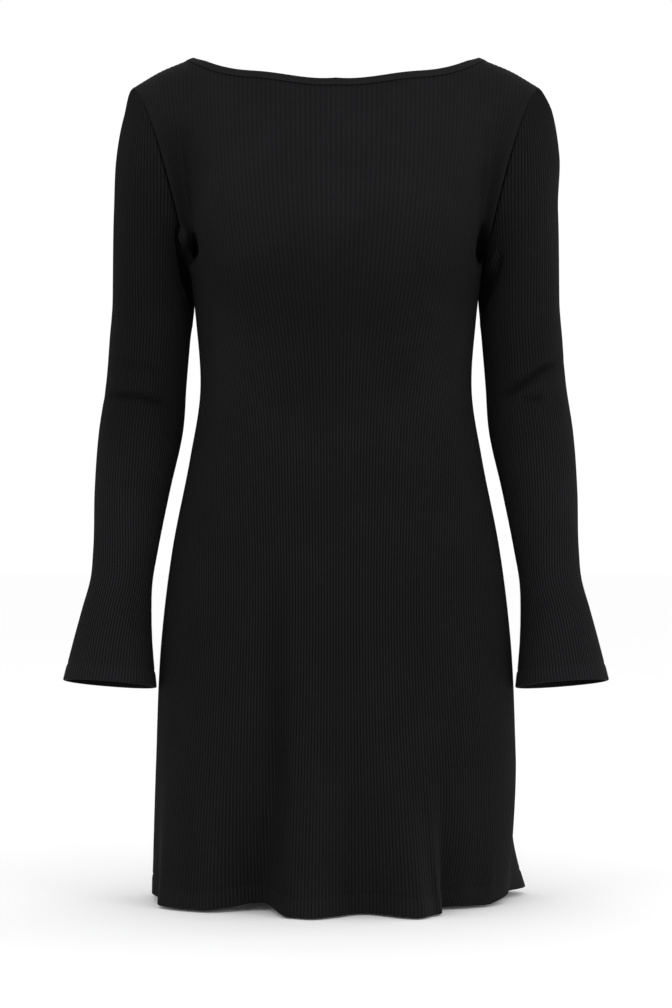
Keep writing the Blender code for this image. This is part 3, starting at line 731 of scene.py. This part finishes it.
# ------------------------ faces of a piece
HEM_ROUNDING = 0.0012
HEM_PROUD = 0.0004  # how far the double hem stands out
HEM_PROUD_FADE = 0.004
HEM_WALL_FADE = 0.003  # over which the wall grows to double
STITCH_WIDTH = 0.0011
STITCH_DEPTH = 0.00055
PUCKER_RIBS = 2.5  # ribs to one pucker of the stitching
PUCKER = 0.25  # share by which its depth comes and goes
PUCKER_WANDER = 3.0  # how far the puckers wander from even places
PUCKER_WANDER_RATE = 0.21
SEAM_WIDTH = 0.0026
SEAM_DEPTH = 0.0006
SEAM_FLATTENS = 0.6  # how far a seam flattens the ribs
SEAM_FLATTENS_WIDTH = 0.0016
STITCH_FLATTENS = 0.25  # and the stitching
STITCH_FLATTENS_WIDTH = 0.002


def rounded_edge(distance, radius):
    """How far a rounded edge falls back at a distance from it."""
    short = np.clip(radius - distance, 0.0, radius)
    return radius - np.sqrt(radius * radius - short * short)


def finished(laid, base, normals, turn_up, folds):
    """Outer and inner faces of a piece: ribs, rounded edges, stitched hem, seams and creases."""
    ribs = np.where(laid.cut_left | laid.cut_right, 0.0, laid.ribs)
    lanes = np.round(ribs * SAMPLES_PER_RIB).astype(int) % SAMPLES_PER_RIB
    relief = np.array(RIB_PROFILE)[lanes] * laid.ease
    to_edge = np.minimum(laid.to_seam, laid.to_top)
    to_stitch = laid.lengths - turn_up
    flatten = 1.0 - SEAM_FLATTENS * ditch(to_edge, SEAM_FLATTENS_WIDTH)
    flatten = flatten - STITCH_FLATTENS * ditch(to_stitch, STITCH_FLATTENS_WIDTH)
    wander = PUCKER_WANDER * np.sin(ribs * PUCKER_WANDER_RATE)
    pucker = 1.0 - PUCKER + PUCKER * np.sin(2.0 * math.pi * ribs / PUCKER_RIBS + wander)
    out = relief * flatten - SEAM_DEPTH * ditch(to_edge, SEAM_WIDTH)
    out = out - STITCH_DEPTH * pucker * ditch(to_stitch, STITCH_WIDTH)
    out = out + HEM_PROUD * smooth_step(-to_stitch / HEM_PROUD_FADE)
    out = out - rounded_edge(laid.lengths, HEM_ROUNDING)
    wall = CLOTH + (HEM_CLOTH - CLOTH) * smooth_step(0.5 - to_stitch / HEM_WALL_FADE)
    wall = wall - rounded_edge(laid.lengths, HEM_ROUNDING)
    return base + normals * (out + folds)[..., None], base + normals * (folds - wall)[..., None]


# ------------------------ meshes
Cloth = namedtuple("Cloth", "vertices faces smooth uv marks")


def vertex_numbers(laid, tube):
    """Number of the vertex at each grid point of the outer face, and then of the inner one.  Points
    cut off at a seam share one a row."""
    ids = np.arange(laid.turns.size).reshape(laid.turns.shape)
    left = ids[:, :1]
    right = left if tube else ids[:, -1:]
    ids = np.where(laid.cut_right, right, np.where(laid.cut_left, left, ids)).ravel()
    return np.concatenate((ids, ids + ids.size))


def grid_faces(grid, numbers):
    """Faces of a grid of corners: quads, and triangles where two corners share one vertex."""
    quads = np.stack((grid[:-1, :-1], grid[:-1, 1:], grid[1:, 1:], grid[1:, :-1]), axis=-1).reshape(-1, 4)
    used = numbers[quads]
    low_joined = used[:, 0] == used[:, 1]
    high_joined = used[:, 2] == used[:, 3]
    faces = quads[~low_joined & ~high_joined].tolist()
    faces += quads[low_joined & ~high_joined][:, 1:].tolist()
    return faces + quads[~low_joined & high_joined][:, :3].tolist()


def shell_faces(shape, numbers, tube):
    """Faces of a thin shell: the two broad ones, and the rims between them.  The inner face has one
    column a rib."""
    outer = np.arange(math.prod(shape)).reshape(shape)
    inner = (outer + outer.size)[:, ::SAMPLES_PER_RIB]
    broad = grid_faces(outer, numbers) + [face[::-1] for face in grid_faces(inner, numbers)]
    rims = []

    def add_rim(face, forward):
        """Add a face of the rim, without corners that repeat the vertex of the one before."""
        pairs = zip(face[-1:] + face, face)
        face = [corner for before, corner in pairs if numbers[corner] != numbers[before]]
        if len(face) > 2:
            rims.append(face if forward else face[::-1])

    for row, forward in ((0, False), (-1, True)):
        for rib in range(inner.shape[1] - 1):
            lane = slice(rib * SAMPLES_PER_RIB, (rib + 1) * SAMPLES_PER_RIB + 1)
            add_rim([*outer[row, lane], *inner[row, [rib + 1, rib]]], forward)
    for column, forward in () if tube else ((0, True), (-1, False)):
        for row in range(len(outer) - 1):
            add_rim([*outer[[row, row + 1], column], *inner[[row + 1, row], column]], forward)
    return broad, rims


def shell(laid, outer, inner, tone, tube, flip):
    """A piece of cloth from the points of its outer and inner faces.  The rims are as light as the
    outer face."""
    numbers = vertex_numbers(laid, tube)
    broad, rims = shell_faces(laid.turns.shape, numbers, tube)
    corners = [np.array(face[::-1] if flip else face) for face in broad + rims]
    order = np.concatenate(corners)
    order[sum(map(len, broad)):] %= tone.size
    uv = np.tile(np.stack((laid.ribs.ravel(), laid.lengths.ravel()), axis=-1), (2, 1))
    depth = np.tile(np.broadcast_to(laid.ease, tone.shape).ravel(), 2)
    # The inner face's marks carry painted shade, darker than the outer face's.
    marks = np.stack((depth, np.concatenate((tone.ravel(), INNER_PAINTED_SHADE * tone.ravel()))), axis=-1)
    faces = [numbers[face].tolist() for face in corners]
    smooth = [True] * len(broad) + [False] * len(rims)
    return Cloth(np.concatenate((outer, inner)).reshape(-1, 3), faces, smooth, uv[order], marks[order])


def add_object(name, data):
    """Put a mesh, a light or a camera in the scene."""
    thing = bpy.data.objects.new(name, data)
    bpy.context.scene.collection.objects.link(thing)
    return thing


def joined(cloths):
    """Several pieces of mesh as one."""
    faces = []
    start = 0
    for cloth in cloths:
        faces += [[number + start for number in face] for face in cloth.faces]
        start += len(cloth.vertices)
    vertices, uv, marks = [
        np.concatenate([getattr(cloth, name) for cloth in cloths]) for name in ("vertices", "uv", "marks")
    ]
    return Cloth(vertices, faces, sum([cloth.smooth for cloth in cloths], []), uv, marks)


def add_mesh(name, cloth, material):
    """A mesh object with one UV map of ribs across and metres along, and one of its marks: the
    depth of the ribs and the painted light and shade of the cloth."""
    numbers = np.concatenate([np.array(face) for face in cloth.faces])
    used, renumbered = np.unique(numbers, return_inverse=True)
    sizes = [len(face) for face in cloth.faces]
    ends = np.cumsum(sizes)
    compact = [renumbered[end - size:end].tolist() for end, size in zip(ends, sizes)]
    mesh = bpy.data.meshes.new(name)
    mesh.from_pydata(cloth.vertices[used].tolist(), [], compact)
    mesh.polygons.foreach_set("use_smooth", cloth.smooth)
    for map_name, values in (("ribs", cloth.uv), ("marks", cloth.marks)):
        layer = mesh.uv_layers.new(name=map_name)
        layer.data.foreach_set("uv", np.asarray(values, dtype=np.float32).ravel())
    mesh.materials.append(material)
    mesh.update()
    return add_object(name, mesh)


# ------------------------ rolls inside the seams
ROLL_WIDTH = 0.0014  # half width and half height of the overlocked edges inside a seam
ROLL_HEIGHT = 0.0010
ROLL_DEPTH = 0.0020  # its middle, inwards from the inner faces
ROLL_SIDES = 6
ROLL_STEP = 0.006
ROLL_END = 0.008  # a side seam's roll stops this far from the hem
SHOULDER_ROLL_WIDTH = 0.0008  # the one at the shoulder is narrower and nearer, to close the seam
SHOULDER_ROLL_DEPTH = 0.0014
SHOULDER_ROLL_POINTS = 14
SHOULDER_ROLL_START = 0.15  # degrees that it keeps from the neck, and from the armhole
SHOULDER_ROLL_END = 4.0
ARMHOLE_ROLL_REACH = 172.0  # degrees to each side of the shoulder tip
ARMHOLE_ROLL_POINTS = 87


def seam_roll(curve, normals, width=ROLL_WIDTH, depth=ROLL_DEPTH):
    """The two raw edges of a seam, overlocked together into a thin roll inside it."""
    run = unit(np.gradient(curve, axis=0))
    across = unit(np.cross(normals, run))
    normals = unit(np.cross(run, across))
    angle = (np.arange(ROLL_SIDES) * 2.0 * math.pi / ROLL_SIDES)[None, :, None]
    rings = (curve - normals * (CLOTH + depth))[:, None] + across[:, None] * width * np.cos(angle)
    rings = rings + normals[:, None] * ROLL_HEIGHT * np.sin(angle)
    faces = [list(range(ROLL_SIDES))[::-1]]
    for low in range(0, (len(curve) - 1) * ROLL_SIDES, ROLL_SIDES):
        for side in range(ROLL_SIDES):
            beside = low + (side + 1) % ROLL_SIDES
            faces.append([low + side, beside, beside + ROLL_SIDES, low + side + ROLL_SIDES])
    faces.append([(len(curve) - 1) * ROLL_SIDES + side for side in range(ROLL_SIDES)])
    uv = np.zeros((sum(map(len, faces)), 2))
    smooth = [len(face) == 4 for face in faces]
    return Cloth(rings.reshape(-1, 3), faces, smooth, uv, uv + 1.0)


def panel_seam_roll(stations, turns, *sizes):
    """Roll inside a seam between the front and the back."""
    normals = unit(panel_normals(FRONT, stations, turns) + panel_normals(BACK, stations, turns))
    return seam_roll(panel_point(FRONT, stations, turns), normals, *sizes)


def body_rolls():
    """Rolls inside the two side seams and the two shoulder seams."""
    seam_length = chest_row(SEAM_TURN) - HEM_HEIGHT
    up_side = np.arange(ROLL_END, seam_length - 2.0 * ROLL_END, ROLL_STEP) / seam_length
    start = NECK_TURN + SHOULDER_ROLL_START
    over_shoulder = np.linspace(start, SEAM_TURN - SHOULDER_ROLL_END, SHOULDER_ROLL_POINTS)
    tops = np.full(SHOULDER_ROLL_POINTS, 2.0)
    rolls = []
    for side in (-1.0, 1.0):
        rolls.append(panel_seam_roll(up_side, np.full(len(up_side), side * SEAM_TURN)))
        rolls.append(panel_seam_roll(tops, side * over_shoulder, SHOULDER_ROLL_WIDTH, SHOULDER_ROLL_DEPTH))
    return rolls


def armhole_roll(mirror):
    """Roll inside the seam between a sleeve and the body."""
    turns = np.linspace(-ARMHOLE_ROLL_REACH, ARMHOLE_ROLL_REACH, ARMHOLE_ROLL_POINTS)
    sleeve = directions(sleeve_point, np.full(len(turns), 2.0), turns, 180.0, -1.0)[2]
    edge = np.full(len(turns), SEAM_TURN)
    front, back = [panel_normals(panel, 2.0 - np.abs(turns) / 180.0, edge) for panel in (FRONT, BACK)]
    normals = unit(np.where(turns[:, None] >= 0.0, front, back) + sleeve)
    return seam_roll(hollowed(armhole_point(turns) * mirror), normals * mirror)


# ------------------------ rows
BODY_ROW = 0.0072
BODY_UPPER_ROWS = 42
SLEEVE_ROW = 0.0034
SLEEVE_UPPER_ROWS = 34
UPPER_ROWS_END = 0.97  # share of the upper columns with even rows; the last ones are closer
LAST_ROWS = [0.980, 0.987, 0.993, 0.9965, 1.0]
LAP_ROWS = [1.0]  # the sleeve's last row laps under the body
EDGE_ROWS = [0.0, 0.0003, 0.0007, 0.0012, 0.0025, 0.006, 0.011]
STITCH_ROWS = (-0.0045, -0.0022, -0.0011, 0.0, 0.0011, 0.0022, 0.0045)  # from the stitching


def stations_from(lower_length, row_height, turn_up, upper_rows, last_rows):
    """Stations of a piece's rows: 0 at the hem or cuff, 1 at the chest or arm ring, 2 at the top.
    The rows are close together round the turned edge, at its stitching and at the top."""
    edge = EDGE_ROWS + [turn_up + step for step in STITCH_ROWS]
    count = int(round((lower_length - edge[-1]) / row_height))
    lower = edge + list(np.linspace(edge[-1], lower_length, count + 1)[1:])
    upper = list(np.linspace(0.0, UPPER_ROWS_END, upper_rows + 1)[1:]) + last_rows
    return np.array([height / lower_length for height in lower] + [1.0 + share for share in upper])


def last_lower_row(stations):
    """Number of the row at the chest ring, or at the arm's top ring."""
    return int(np.argmax(stations > 1.0 + 1e-9)) - 1


# ------------------------ panels and sleeves
# Under the arm the rear of the sleeve swells in behind the body, so no light shows between them.
SWELL_TURN = -145.0
SWELL_SPREAD = 26.0
SWELL = 0.0090
SWELL_BELOW_SEAM = 0.002
SWELL_RISE = 0.010
SWELL_FEET = {1.0: -0.278, -1.0: -0.284}  # on the left and right arm
SWELL_FALL = 0.043

# The sleeve's raw edge lies under the body's edge, except over the shoulder and under the arm.
LAP = 0.0030
LAP_LEAST = 0.0001
LAP_SINK = 0.0003
LAP_SINK_WIDTH = 0.0014
LAP_START = 22.0  # degrees round the armhole from the shoulder tip
LAP_END = 11.0  # and from the underarm
LAP_FADE = 22.0


def swollen(base, turns, to_top, side):
    """The left sleeve with its rear swollen in towards the body below the armhole."""
    apart = (turns - SWELL_TURN + 180.0) % 360.0 - 180.0
    window = smooth_step((to_top - SWELL_BELOW_SEAM) / SWELL_RISE)
    window = window * smooth_step((base[..., 2] - SWELL_FEET[side]) / SWELL_FALL)
    moved = base.copy()
    moved[..., 0] -= SWELL * window * ditch(apart, SWELL_SPREAD)
    return moved


def lap_share(turns):
    """How far the sleeve laps under the body round the armhole: 0 or 1, with soft ends."""
    around = np.abs(turns)
    ends = smooth_step((180.0 - around - LAP_END) / LAP_FADE)
    return smooth_step((around - LAP_START) / LAP_FADE) * ends


def pulled_back(laid, seam_side, seam_top):
    """Open the seams: the edges draw back by half the gap between two pieces."""
    inward = -np.sign(laid.turns)[..., None] * unit(laid.sideways)
    inward = inward * (SEAM_GAP / 2.0 * ditch(laid.to_seam, SEAM_GAP_FADE) * seam_side)[..., None]
    downward = -unit(laid.up) * (SEAM_GAP / 2.0 * ditch(laid.to_top, SEAM_GAP_FADE) * seam_top)[..., None]
    return laid.base + inward + downward


def build_panel(panel, lines, painted_light_by_height, painted_shadows, rolls, material):
    """The front or the back."""
    stations = stations_from(CHEST_HEIGHT - HEM_HEIGHT, BODY_ROW, HEM_TURN_UP, BODY_UPPER_ROWS, LAST_ROWS)
    surface = partial(panel_point, panel)
    ruler = np.linspace(-SEAM_TURN, SEAM_TURN, RULER)
    measured = surface(stations[:, None], ruler, FOLD_SHARE_OF_RIBS)
    pitches = along(BODY_PITCH, "pitch", measured[:, RULER // 2, 2])
    level = leaned(from_middle(measured[..., :2]), ruler, pitches, last_lower_row(stations))
    laid = lay_ribs(surface, stations, ruler, measured, level, pitches, -panel.facing)
    seam_top = np.abs(laid.turns) >= NECK_TURN
    base = hollowed(pulled_back(laid, True, seam_top))
    folds = crease_out(lines, base, panel.facing)
    outer, inner = finished(laid, base, laid.normals, HEM_TURN_UP, folds)
    to_neck = laid.to_top + FAR * seam_top
    to_join = np.minimum(laid.to_seam, laid.to_top + FAR * ~seam_top)
    tone = painted_light_and_shade(painted_light_by_height, base[..., 2], to_join, to_neck, laid.lengths, HEM_TURN_UP, folds)
    tone = tone * armhole_painted_shade(base[..., 2], laid.to_seam) * painted_shadow_light(base, painted_shadows)
    cloth = shell(laid, outer, inner, tone, False, panel is BACK)
    return add_mesh(panel.name + "_cloth", joined([cloth] + rolls), material)


def build_sleeve(name, side, lines, rear_lines, painted_light_by_height, material):
    """One sleeve.  The wearer's left one has side 1, and the right one is mirrored from it."""
    lower_length = SLEEVE_RINGS[-1].height - SLEEVE_RINGS[0].height
    last_rows = LAST_ROWS + LAP_ROWS
    stations = stations_from(lower_length, SLEEVE_ROW, CUFF_TURN_UP, SLEEVE_UPPER_ROWS, last_rows)
    surface = partial(round_sleeve_point, side)
    ruler = np.linspace(-180.0, 180.0, RULER)
    measured = surface(stations[:, None], ruler[None, :])
    top_ring = last_lower_row(stations)
    pitches = along(SLEEVE_PITCH, "pitch", np.minimum(measured[:, RULER // 2, 2], SLEEVE_PITCH[-1].height))
    pitches[top_ring:] = pitches[top_ring]
    level = upright(from_middle(measured[..., :2]), measured, top_ring)
    laid = lay_ribs(surface, stations, ruler, measured, level, pitches, -1.0)
    base = swollen(pulled_back(laid, False, True), laid.turns, laid.to_top, side)
    lapping = lap_share(laid.turns)
    base[-1] += unit(laid.up[-1]) * (LAP_LEAST + LAP * lapping[-1])[:, None]
    base = base - laid.normals * (LAP_SINK * lapping * ditch(laid.to_top, LAP_SINK_WIDTH))[..., None]
    mirror = np.array((side, 1.0, 1.0))
    base = hollowed(base * mirror)
    folds = crease_out(lines, base, -1.0) + crease_out(rear_lines, base, 1.0)
    outer, inner = finished(laid, base, laid.normals * mirror, CUFF_TURN_UP, folds)
    to_neck = np.full(laid.turns.shape, FAR)
    tone = painted_light_and_shade(painted_light_by_height, base[..., 2], laid.to_top, to_neck, laid.lengths, CUFF_TURN_UP, folds)
    cloth = shell(laid, outer, inner, tone, True, side > 0.0)
    return add_mesh(name, joined([cloth, armhole_roll(mirror)]), material)


# ------------------------ neck binding
BINDING_HEIGHT = 0.0068
BINDING_CORNER = 6.0  # degrees over which the binding turns at the neck points
BINDING_RIB = 0.0030
BINDING_RELIEF = 0.00012
BINDING_PROFILE = (-BINDING_RELIEF, 0.0, BINDING_RELIEF, 0.0)
# Outline of the binding across its length, from the panel's neck edge, in millimetres out and up.
# Its outer layer laps a little way down over the edge.
BINDING_SECTION = MILLIMETRE * np.array((
    (0.4, -0.7), (0.6, 0.4), (0.6, 2.4), (0.5, 5.0), (0.3, 6.2), (-0.3, 6.9), (-1.0, 7.1), (-1.6, 6.8),
    (-2.0, 6.0), (-2.1, 4.0), (-2.1, 1.6), (-1.9, 0.5), (-1.0, 0.3), (-0.2, 0.3), (-0.2, -0.8), (0.2, -1.0),
))


def binding_edge(panel, turns):
    """Points of a panel's neck edge, and directions out of the cloth there."""
    stations = np.full(len(turns), 2.0)
    run = np.array(SHOULDER_TIP) - np.array((NECK_HALF_WIDTH, 0.0, NECK_POINT_HEIGHT))
    shoulder = unit(points(-np.sign(turns) * run[2], 0.0, run[0]))
    corner = smooth_step(1.0 - (NECK_TURN - np.abs(turns)) / BINDING_CORNER)[:, None]
    normals = unit(panel_normals(panel, stations, turns) * (1.0 - corner) + shoulder * corner)
    return panel_point(panel, stations, turns), normals


def around_neck(front, back):
    """One closed row of values from those along the front's and the back's neck edge."""
    return np.concatenate((front, back[1:-1], front[:1]))


def build_binding(material):
    """The doubled strip that stands on the neck edge."""
    turns = np.linspace(-NECK_TURN, NECK_TURN, RULER)
    edge, normals = map(around_neck, binding_edge(FRONT, turns), binding_edge(BACK, turns[::-1]))
    distance = travelled(edge)
    rib_count = int(round(distance[-1] / BINDING_RIB))
    places = np.linspace(0.0, distance[-1], rib_count * SAMPLES_PER_RIB, endpoint=False)
    edge, normals = [
        np.stack([np.interp(places, distance, values[:, axis]) for axis in range(3)], axis=-1)
        for values in (edge, normals)
    ]
    run = unit(np.roll(edge, -2, axis=0) - np.roll(edge, 2, axis=0))
    rise = unit(np.cross(normals, run))
    rise = rise * np.sign(rise[:, 2:3])
    normals = unit(np.cross(run, rise))
    out, up = BINDING_SECTION.T
    outs = out + np.tile(BINDING_PROFILE, rib_count)[:, None] * np.sign(out - out.mean())
    rings = edge[:, None] + normals[:, None] * outs[..., None] + rise[:, None] * up[None, :, None]
    ring_count, spot_count = outs.shape
    faces = []
    uv = []
    for ring in range(ring_count):
        for corner in range(spot_count):
            face = []
            for on_ring, on_spot in ((0, 0), (1, 0), (1, 1), (0, 1)):
                face.append((ring + on_ring) % ring_count * spot_count + (corner + on_spot) % spot_count)
                height = (corner + on_spot) / spot_count * 2.0 * BINDING_HEIGHT
                uv.append(((ring + on_ring) / SAMPLES_PER_RIB, height))
            faces.append(face)
    cloth = Cloth(rings.reshape(-1, 3), faces, [True] * len(faces), np.array(uv), np.ones((len(uv), 2)))
    return add_mesh("neck_binding_cloth", cloth, material)


# ------------------------ materials
LOOP_HEIGHT = 0.0013  # one knitted loop along a rib
LOOP_CHEVRON = 2.2  # how steeply the loops slant to both sides of a rib
LOOP_SHADE = 0.07
LOOP_BUMP = 0.6
CREST_WIDTH = 0.7  # power that widens the crests
TROUGH_PAINTED_SHADE = 0.35  # how dark the painted shade is between two ribs
BINDING_TROUGH_PAINTED_SHADE = 0.9  # the binding is stretched tight, so it gets hardly any painted shade between its ribs
CLOUD_SCALE = 22.0  # wide soft patches, a little lighter and darker
CLOUD_DETAIL = 4.0
CLOUD_SHADE = (0.36, 0.82)  # growth with the noise, and least value
FUZZ_SCALE = 1600.0  # the fuzz of the yarn
FUZZ_DETAIL = 2.0
FUZZ_SHADE = (0.5, 0.75)
FUZZ_ROUGHNESS = (0.16, 0.78)
FUZZ_BUMP = 0.8
BUMP_STRENGTH = 0.5
BUMP_HEIGHT = 0.0002
SPECULAR = 0.04
SHEEN = 0.012
SHEEN_ROUGHNESS = 0.40


class Nodes:
    """A short way to add shader nodes and link them."""

    def __init__(self, name):
        self.material = bpy.data.materials.new(name)
        self.material.use_nodes = True
        self.tree = self.material.node_tree

    def add(self, kind, inputs=None, **settings):
        node = self.tree.nodes.new(kind)
        for name, value in settings.items():
            setattr(node, name, value)
        self.set(node, inputs or {})
        return node

    def set(self, node, inputs):
        for socket, value in inputs.items():
            if isinstance(value, bpy.types.NodeSocket):
                self.tree.links.new(value, node.inputs[socket])
            else:
                node.inputs[socket].default_value = value

    def shader(self, **inputs):
        named = {name.replace("_", " "): value for name, value in inputs.items()}
        self.set(self.tree.nodes["Principled BSDF"], named)

    def maths(self, operation, *values):
        return self.add("ShaderNodeMath", dict(enumerate(values)), operation=operation).outputs[0]

    def noise(self, place, scale, detail):
        inputs = {"Vector": place, "Scale": scale, "Detail": detail}
        return self.add("ShaderNodeTexNoise", inputs).outputs["Fac"]

    def uv_map(self, name):
        uv = self.add("ShaderNodeUVMap", uv_map=name).outputs["UV"]
        split = self.add("ShaderNodeSeparateXYZ", {"Vector": uv})
        return split.outputs["X"], split.outputs["Y"]


def knit_material(slot, trough_painted_shade):
    """Near-black cotton rib: painted shade between the ribs, small loops along them, a soft fuzz."""
    colours = {row["slot"]: row["base_color"] for row in frame["record"]["materials"]}
    nodes = Nodes(slot)
    maths = nodes.maths
    ribs, metres = nodes.uv_map("ribs")
    ease, tone = nodes.uv_map("marks")
    place = nodes.add("ShaderNodeTexCoord").outputs["Object"]
    cloud = nodes.noise(place, CLOUD_SCALE, CLOUD_DETAIL)
    fuzz = nodes.noise(place, FUZZ_SCALE, FUZZ_DETAIL)
    wave = maths("COSINE", maths("MULTIPLY", ribs, 2.0 * math.pi))
    crest = maths("POWER", maths("MULTIPLY_ADD", wave, -0.5, 0.5), CREST_WIDTH)
    chevron = maths("MULTIPLY", maths("ABSOLUTE", wave), LOOP_CHEVRON)
    rising = maths("MULTIPLY", metres, 2.0 * math.pi / LOOP_HEIGHT)
    loops = maths("SINE", maths("ADD", rising, chevron))
    # Painted shade in the troughs, scaled by the rib depth, times the painted light and shade from the
    # marks.
    darkened = maths("MULTIPLY", maths("SUBTRACT", 1.0, crest), 1.0 - trough_painted_shade)
    shade = maths("MULTIPLY", maths("SUBTRACT", 1.0, maths("MULTIPLY", darkened, ease)), tone)
    shade = maths("MULTIPLY", shade, maths("MULTIPLY_ADD", cloud, *CLOUD_SHADE))
    shade = maths("MULTIPLY", shade, maths("MULTIPLY_ADD", loops, LOOP_SHADE, 1.0))
    shade = maths("MULTIPLY", shade, maths("MULTIPLY_ADD", fuzz, *FUZZ_SHADE))
    tint = nodes.add("ShaderNodeMix", {"Factor": 1.0}, data_type="RGBA", blend_type="MULTIPLY")
    nodes.set(tint, {"A": (*colours[slot], 1.0), "B": shade})
    height = maths("MULTIPLY_ADD", loops, LOOP_BUMP, maths("MULTIPLY", fuzz, FUZZ_BUMP))
    bump_inputs = {"Height": height, "Strength": BUMP_STRENGTH, "Distance": BUMP_HEIGHT}
    bump = nodes.add("ShaderNodeBump", bump_inputs)
    nodes.shader(
        Base_Color=tint.outputs["Result"], Roughness=maths("MULTIPLY_ADD", fuzz, *FUZZ_ROUGHNESS),
        Normal=bump.outputs["Normal"], Specular_IOR_Level=SPECULAR, Sheen_Weight=SHEEN,
        Sheen_Roughness=SHEEN_ROUGHNESS,
    )
    return nodes.material


# ------------------------ stage
FLOOR_DROP = 0.0018
FLOOR_RADIUS = 14.0
FLOOR_CORNERS = 96
FLOOR_WHITE = 0.96
CAMERA_DISTANCE = 3.0
CAMERA_HEIGHT = -0.446
CAMERA_REACH = 60.0
PICTURE_HEIGHT = 1.008  # height of the view at the dress
SENSOR = 24.0
LIGHTS = table(
    "name place width height power",
    ("left_high", (-2.0, -2.4, 1.7), 1.4, 1.4, 7.0),
    ("left_middle", (-2.2, -2.6, 0.0), 1.4, 1.4, 7.5),
    ("left_side", (-2.8, -0.5, -0.35), 1.2, 1.2, 4.0),
    ("right_middle", (2.2, -2.6, 0.0), 1.4, 1.4, 24.0),
    ("right_side", (2.8, -0.5, -0.35), 1.2, 1.2, 5.0),
    ("left_low", (-2.6, -1.4, -0.80), 1.2, 0.6, 12.0),
    ("right_low", (2.6, -1.4, -0.80), 1.2, 0.6, 12.0),
    ("right_rear", (2.4, 1.4, -0.2), 1.2, 1.2, 14.0),
    ("low_front", (0.0, -2.8, -0.75), 2.4, 0.3, 14.0),
)
LIGHT_TARGET = (0.0, 0.0, -0.4)
WORLD = 1.02


def build_floor():
    bpy.ops.mesh.primitive_circle_add(vertices=FLOOR_CORNERS, radius=FLOOR_RADIUS, fill_type="NGON",
                                      location=(0.0, 0.0, HEM_HEIGHT - FLOOR_DROP))
    floor = bpy.context.object
    floor.name = "floor"
    nodes = Nodes("floor")
    white = (FLOOR_WHITE, FLOOR_WHITE, FLOOR_WHITE, 1.0)
    nodes.shader(Base_Color=white, Roughness=1.0, Specular_IOR_Level=0.0)
    floor.data.materials.append(nodes.material)


def build_camera():
    data = bpy.data.cameras.new("camera")
    data.sensor_fit = "VERTICAL"
    data.sensor_height = SENSOR
    data.lens = SENSOR * CAMERA_DISTANCE / PICTURE_HEIGHT
    data.clip_end = CAMERA_REACH
    camera = add_object("camera", data)
    camera.location = (0.0, -CAMERA_DISTANCE, CAMERA_HEIGHT)
    camera.rotation_euler = (math.pi / 2.0, 0.0, 0.0)
    bpy.context.scene.camera = camera


def build_lights():
    for light in LIGHTS:
        data = bpy.data.lights.new(light.name, "AREA")
        data.shape = "RECTANGLE"
        data.size = light.width
        data.size_y = light.height
        data.energy = light.power
        lamp = add_object(light.name, data)
        lamp.location = light.place
        aim = np.array(LIGHT_TARGET) - np.array(light.place)
        flat = math.hypot(aim[0], aim[1])
        lamp.rotation_euler = (math.atan2(flat, -aim[2]), 0.0, math.atan2(-aim[0], aim[1]))
    world = bpy.data.worlds.new("world")
    world.use_nodes = True
    background = world.node_tree.nodes["Background"]
    background.inputs["Color"].default_value = (1.0, 1.0, 1.0, 1.0)
    background.inputs["Strength"].default_value = WORLD
    bpy.context.scene.world = world
    bpy.context.scene.view_settings.view_transform = "Standard"


# ------------------------ making
PANEL_CUT = (0.50, 0.90)  # the flat cloth that each piece is cut from, and its area
PANEL_AREA = 0.37
SLEEVE_CUT = (0.36, 0.60)
SLEEVE_AREA = 0.155
BINDING_CUT = (0.0100, 0.66)


def main():
    build_camera()
    body = knit_material("body_rib_knit", TROUGH_PAINTED_SHADE)
    sleeves = knit_material("sleeve_rib_knit", TROUGH_PAINTED_SHADE)
    binding = knit_material("binding_knit", BINDING_TROUGH_PAINTED_SHADE)
    front = build_panel(FRONT, FRONT_CREASES, FRONT_PAINTED_LIGHT, FRONT_PAINTED_SHADOWS, [], body)
    back = build_panel(BACK, BACK_CREASES, BACK_PAINTED_LIGHT, [], body_rolls(), body)
    left = build_sleeve(
        "sleeve_left_cloth", 1.0, LEFT_SLEEVE_CREASES, LEFT_REAR_CREASES, LEFT_SLEEVE_PAINTED_LIGHT, sleeves)
    right = build_sleeve(
        "sleeve_right_cloth", -1.0, RIGHT_SLEEVE_CREASES, RIGHT_REAR_CREASES, RIGHT_SLEEVE_PAINTED_LIGHT, sleeves)
    pieces = [
        (front, "front", "body_rib_knit", PANEL_CUT, PANEL_AREA),
        (back, "back", "body_rib_knit", PANEL_CUT, PANEL_AREA),
        (left, "sleeve_left", "sleeve_rib_knit", SLEEVE_CUT, SLEEVE_AREA),
        (right, "sleeve_right", "sleeve_rib_knit", SLEEVE_CUT, SLEEVE_AREA),
        (build_binding(binding), "neck_binding", "binding_knit", BINDING_CUT, None),
    ]
    for piece, node, slot, cut, area in pieces:
        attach(piece, "root")
        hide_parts(node)
    build_floor()
    build_lights()


main()
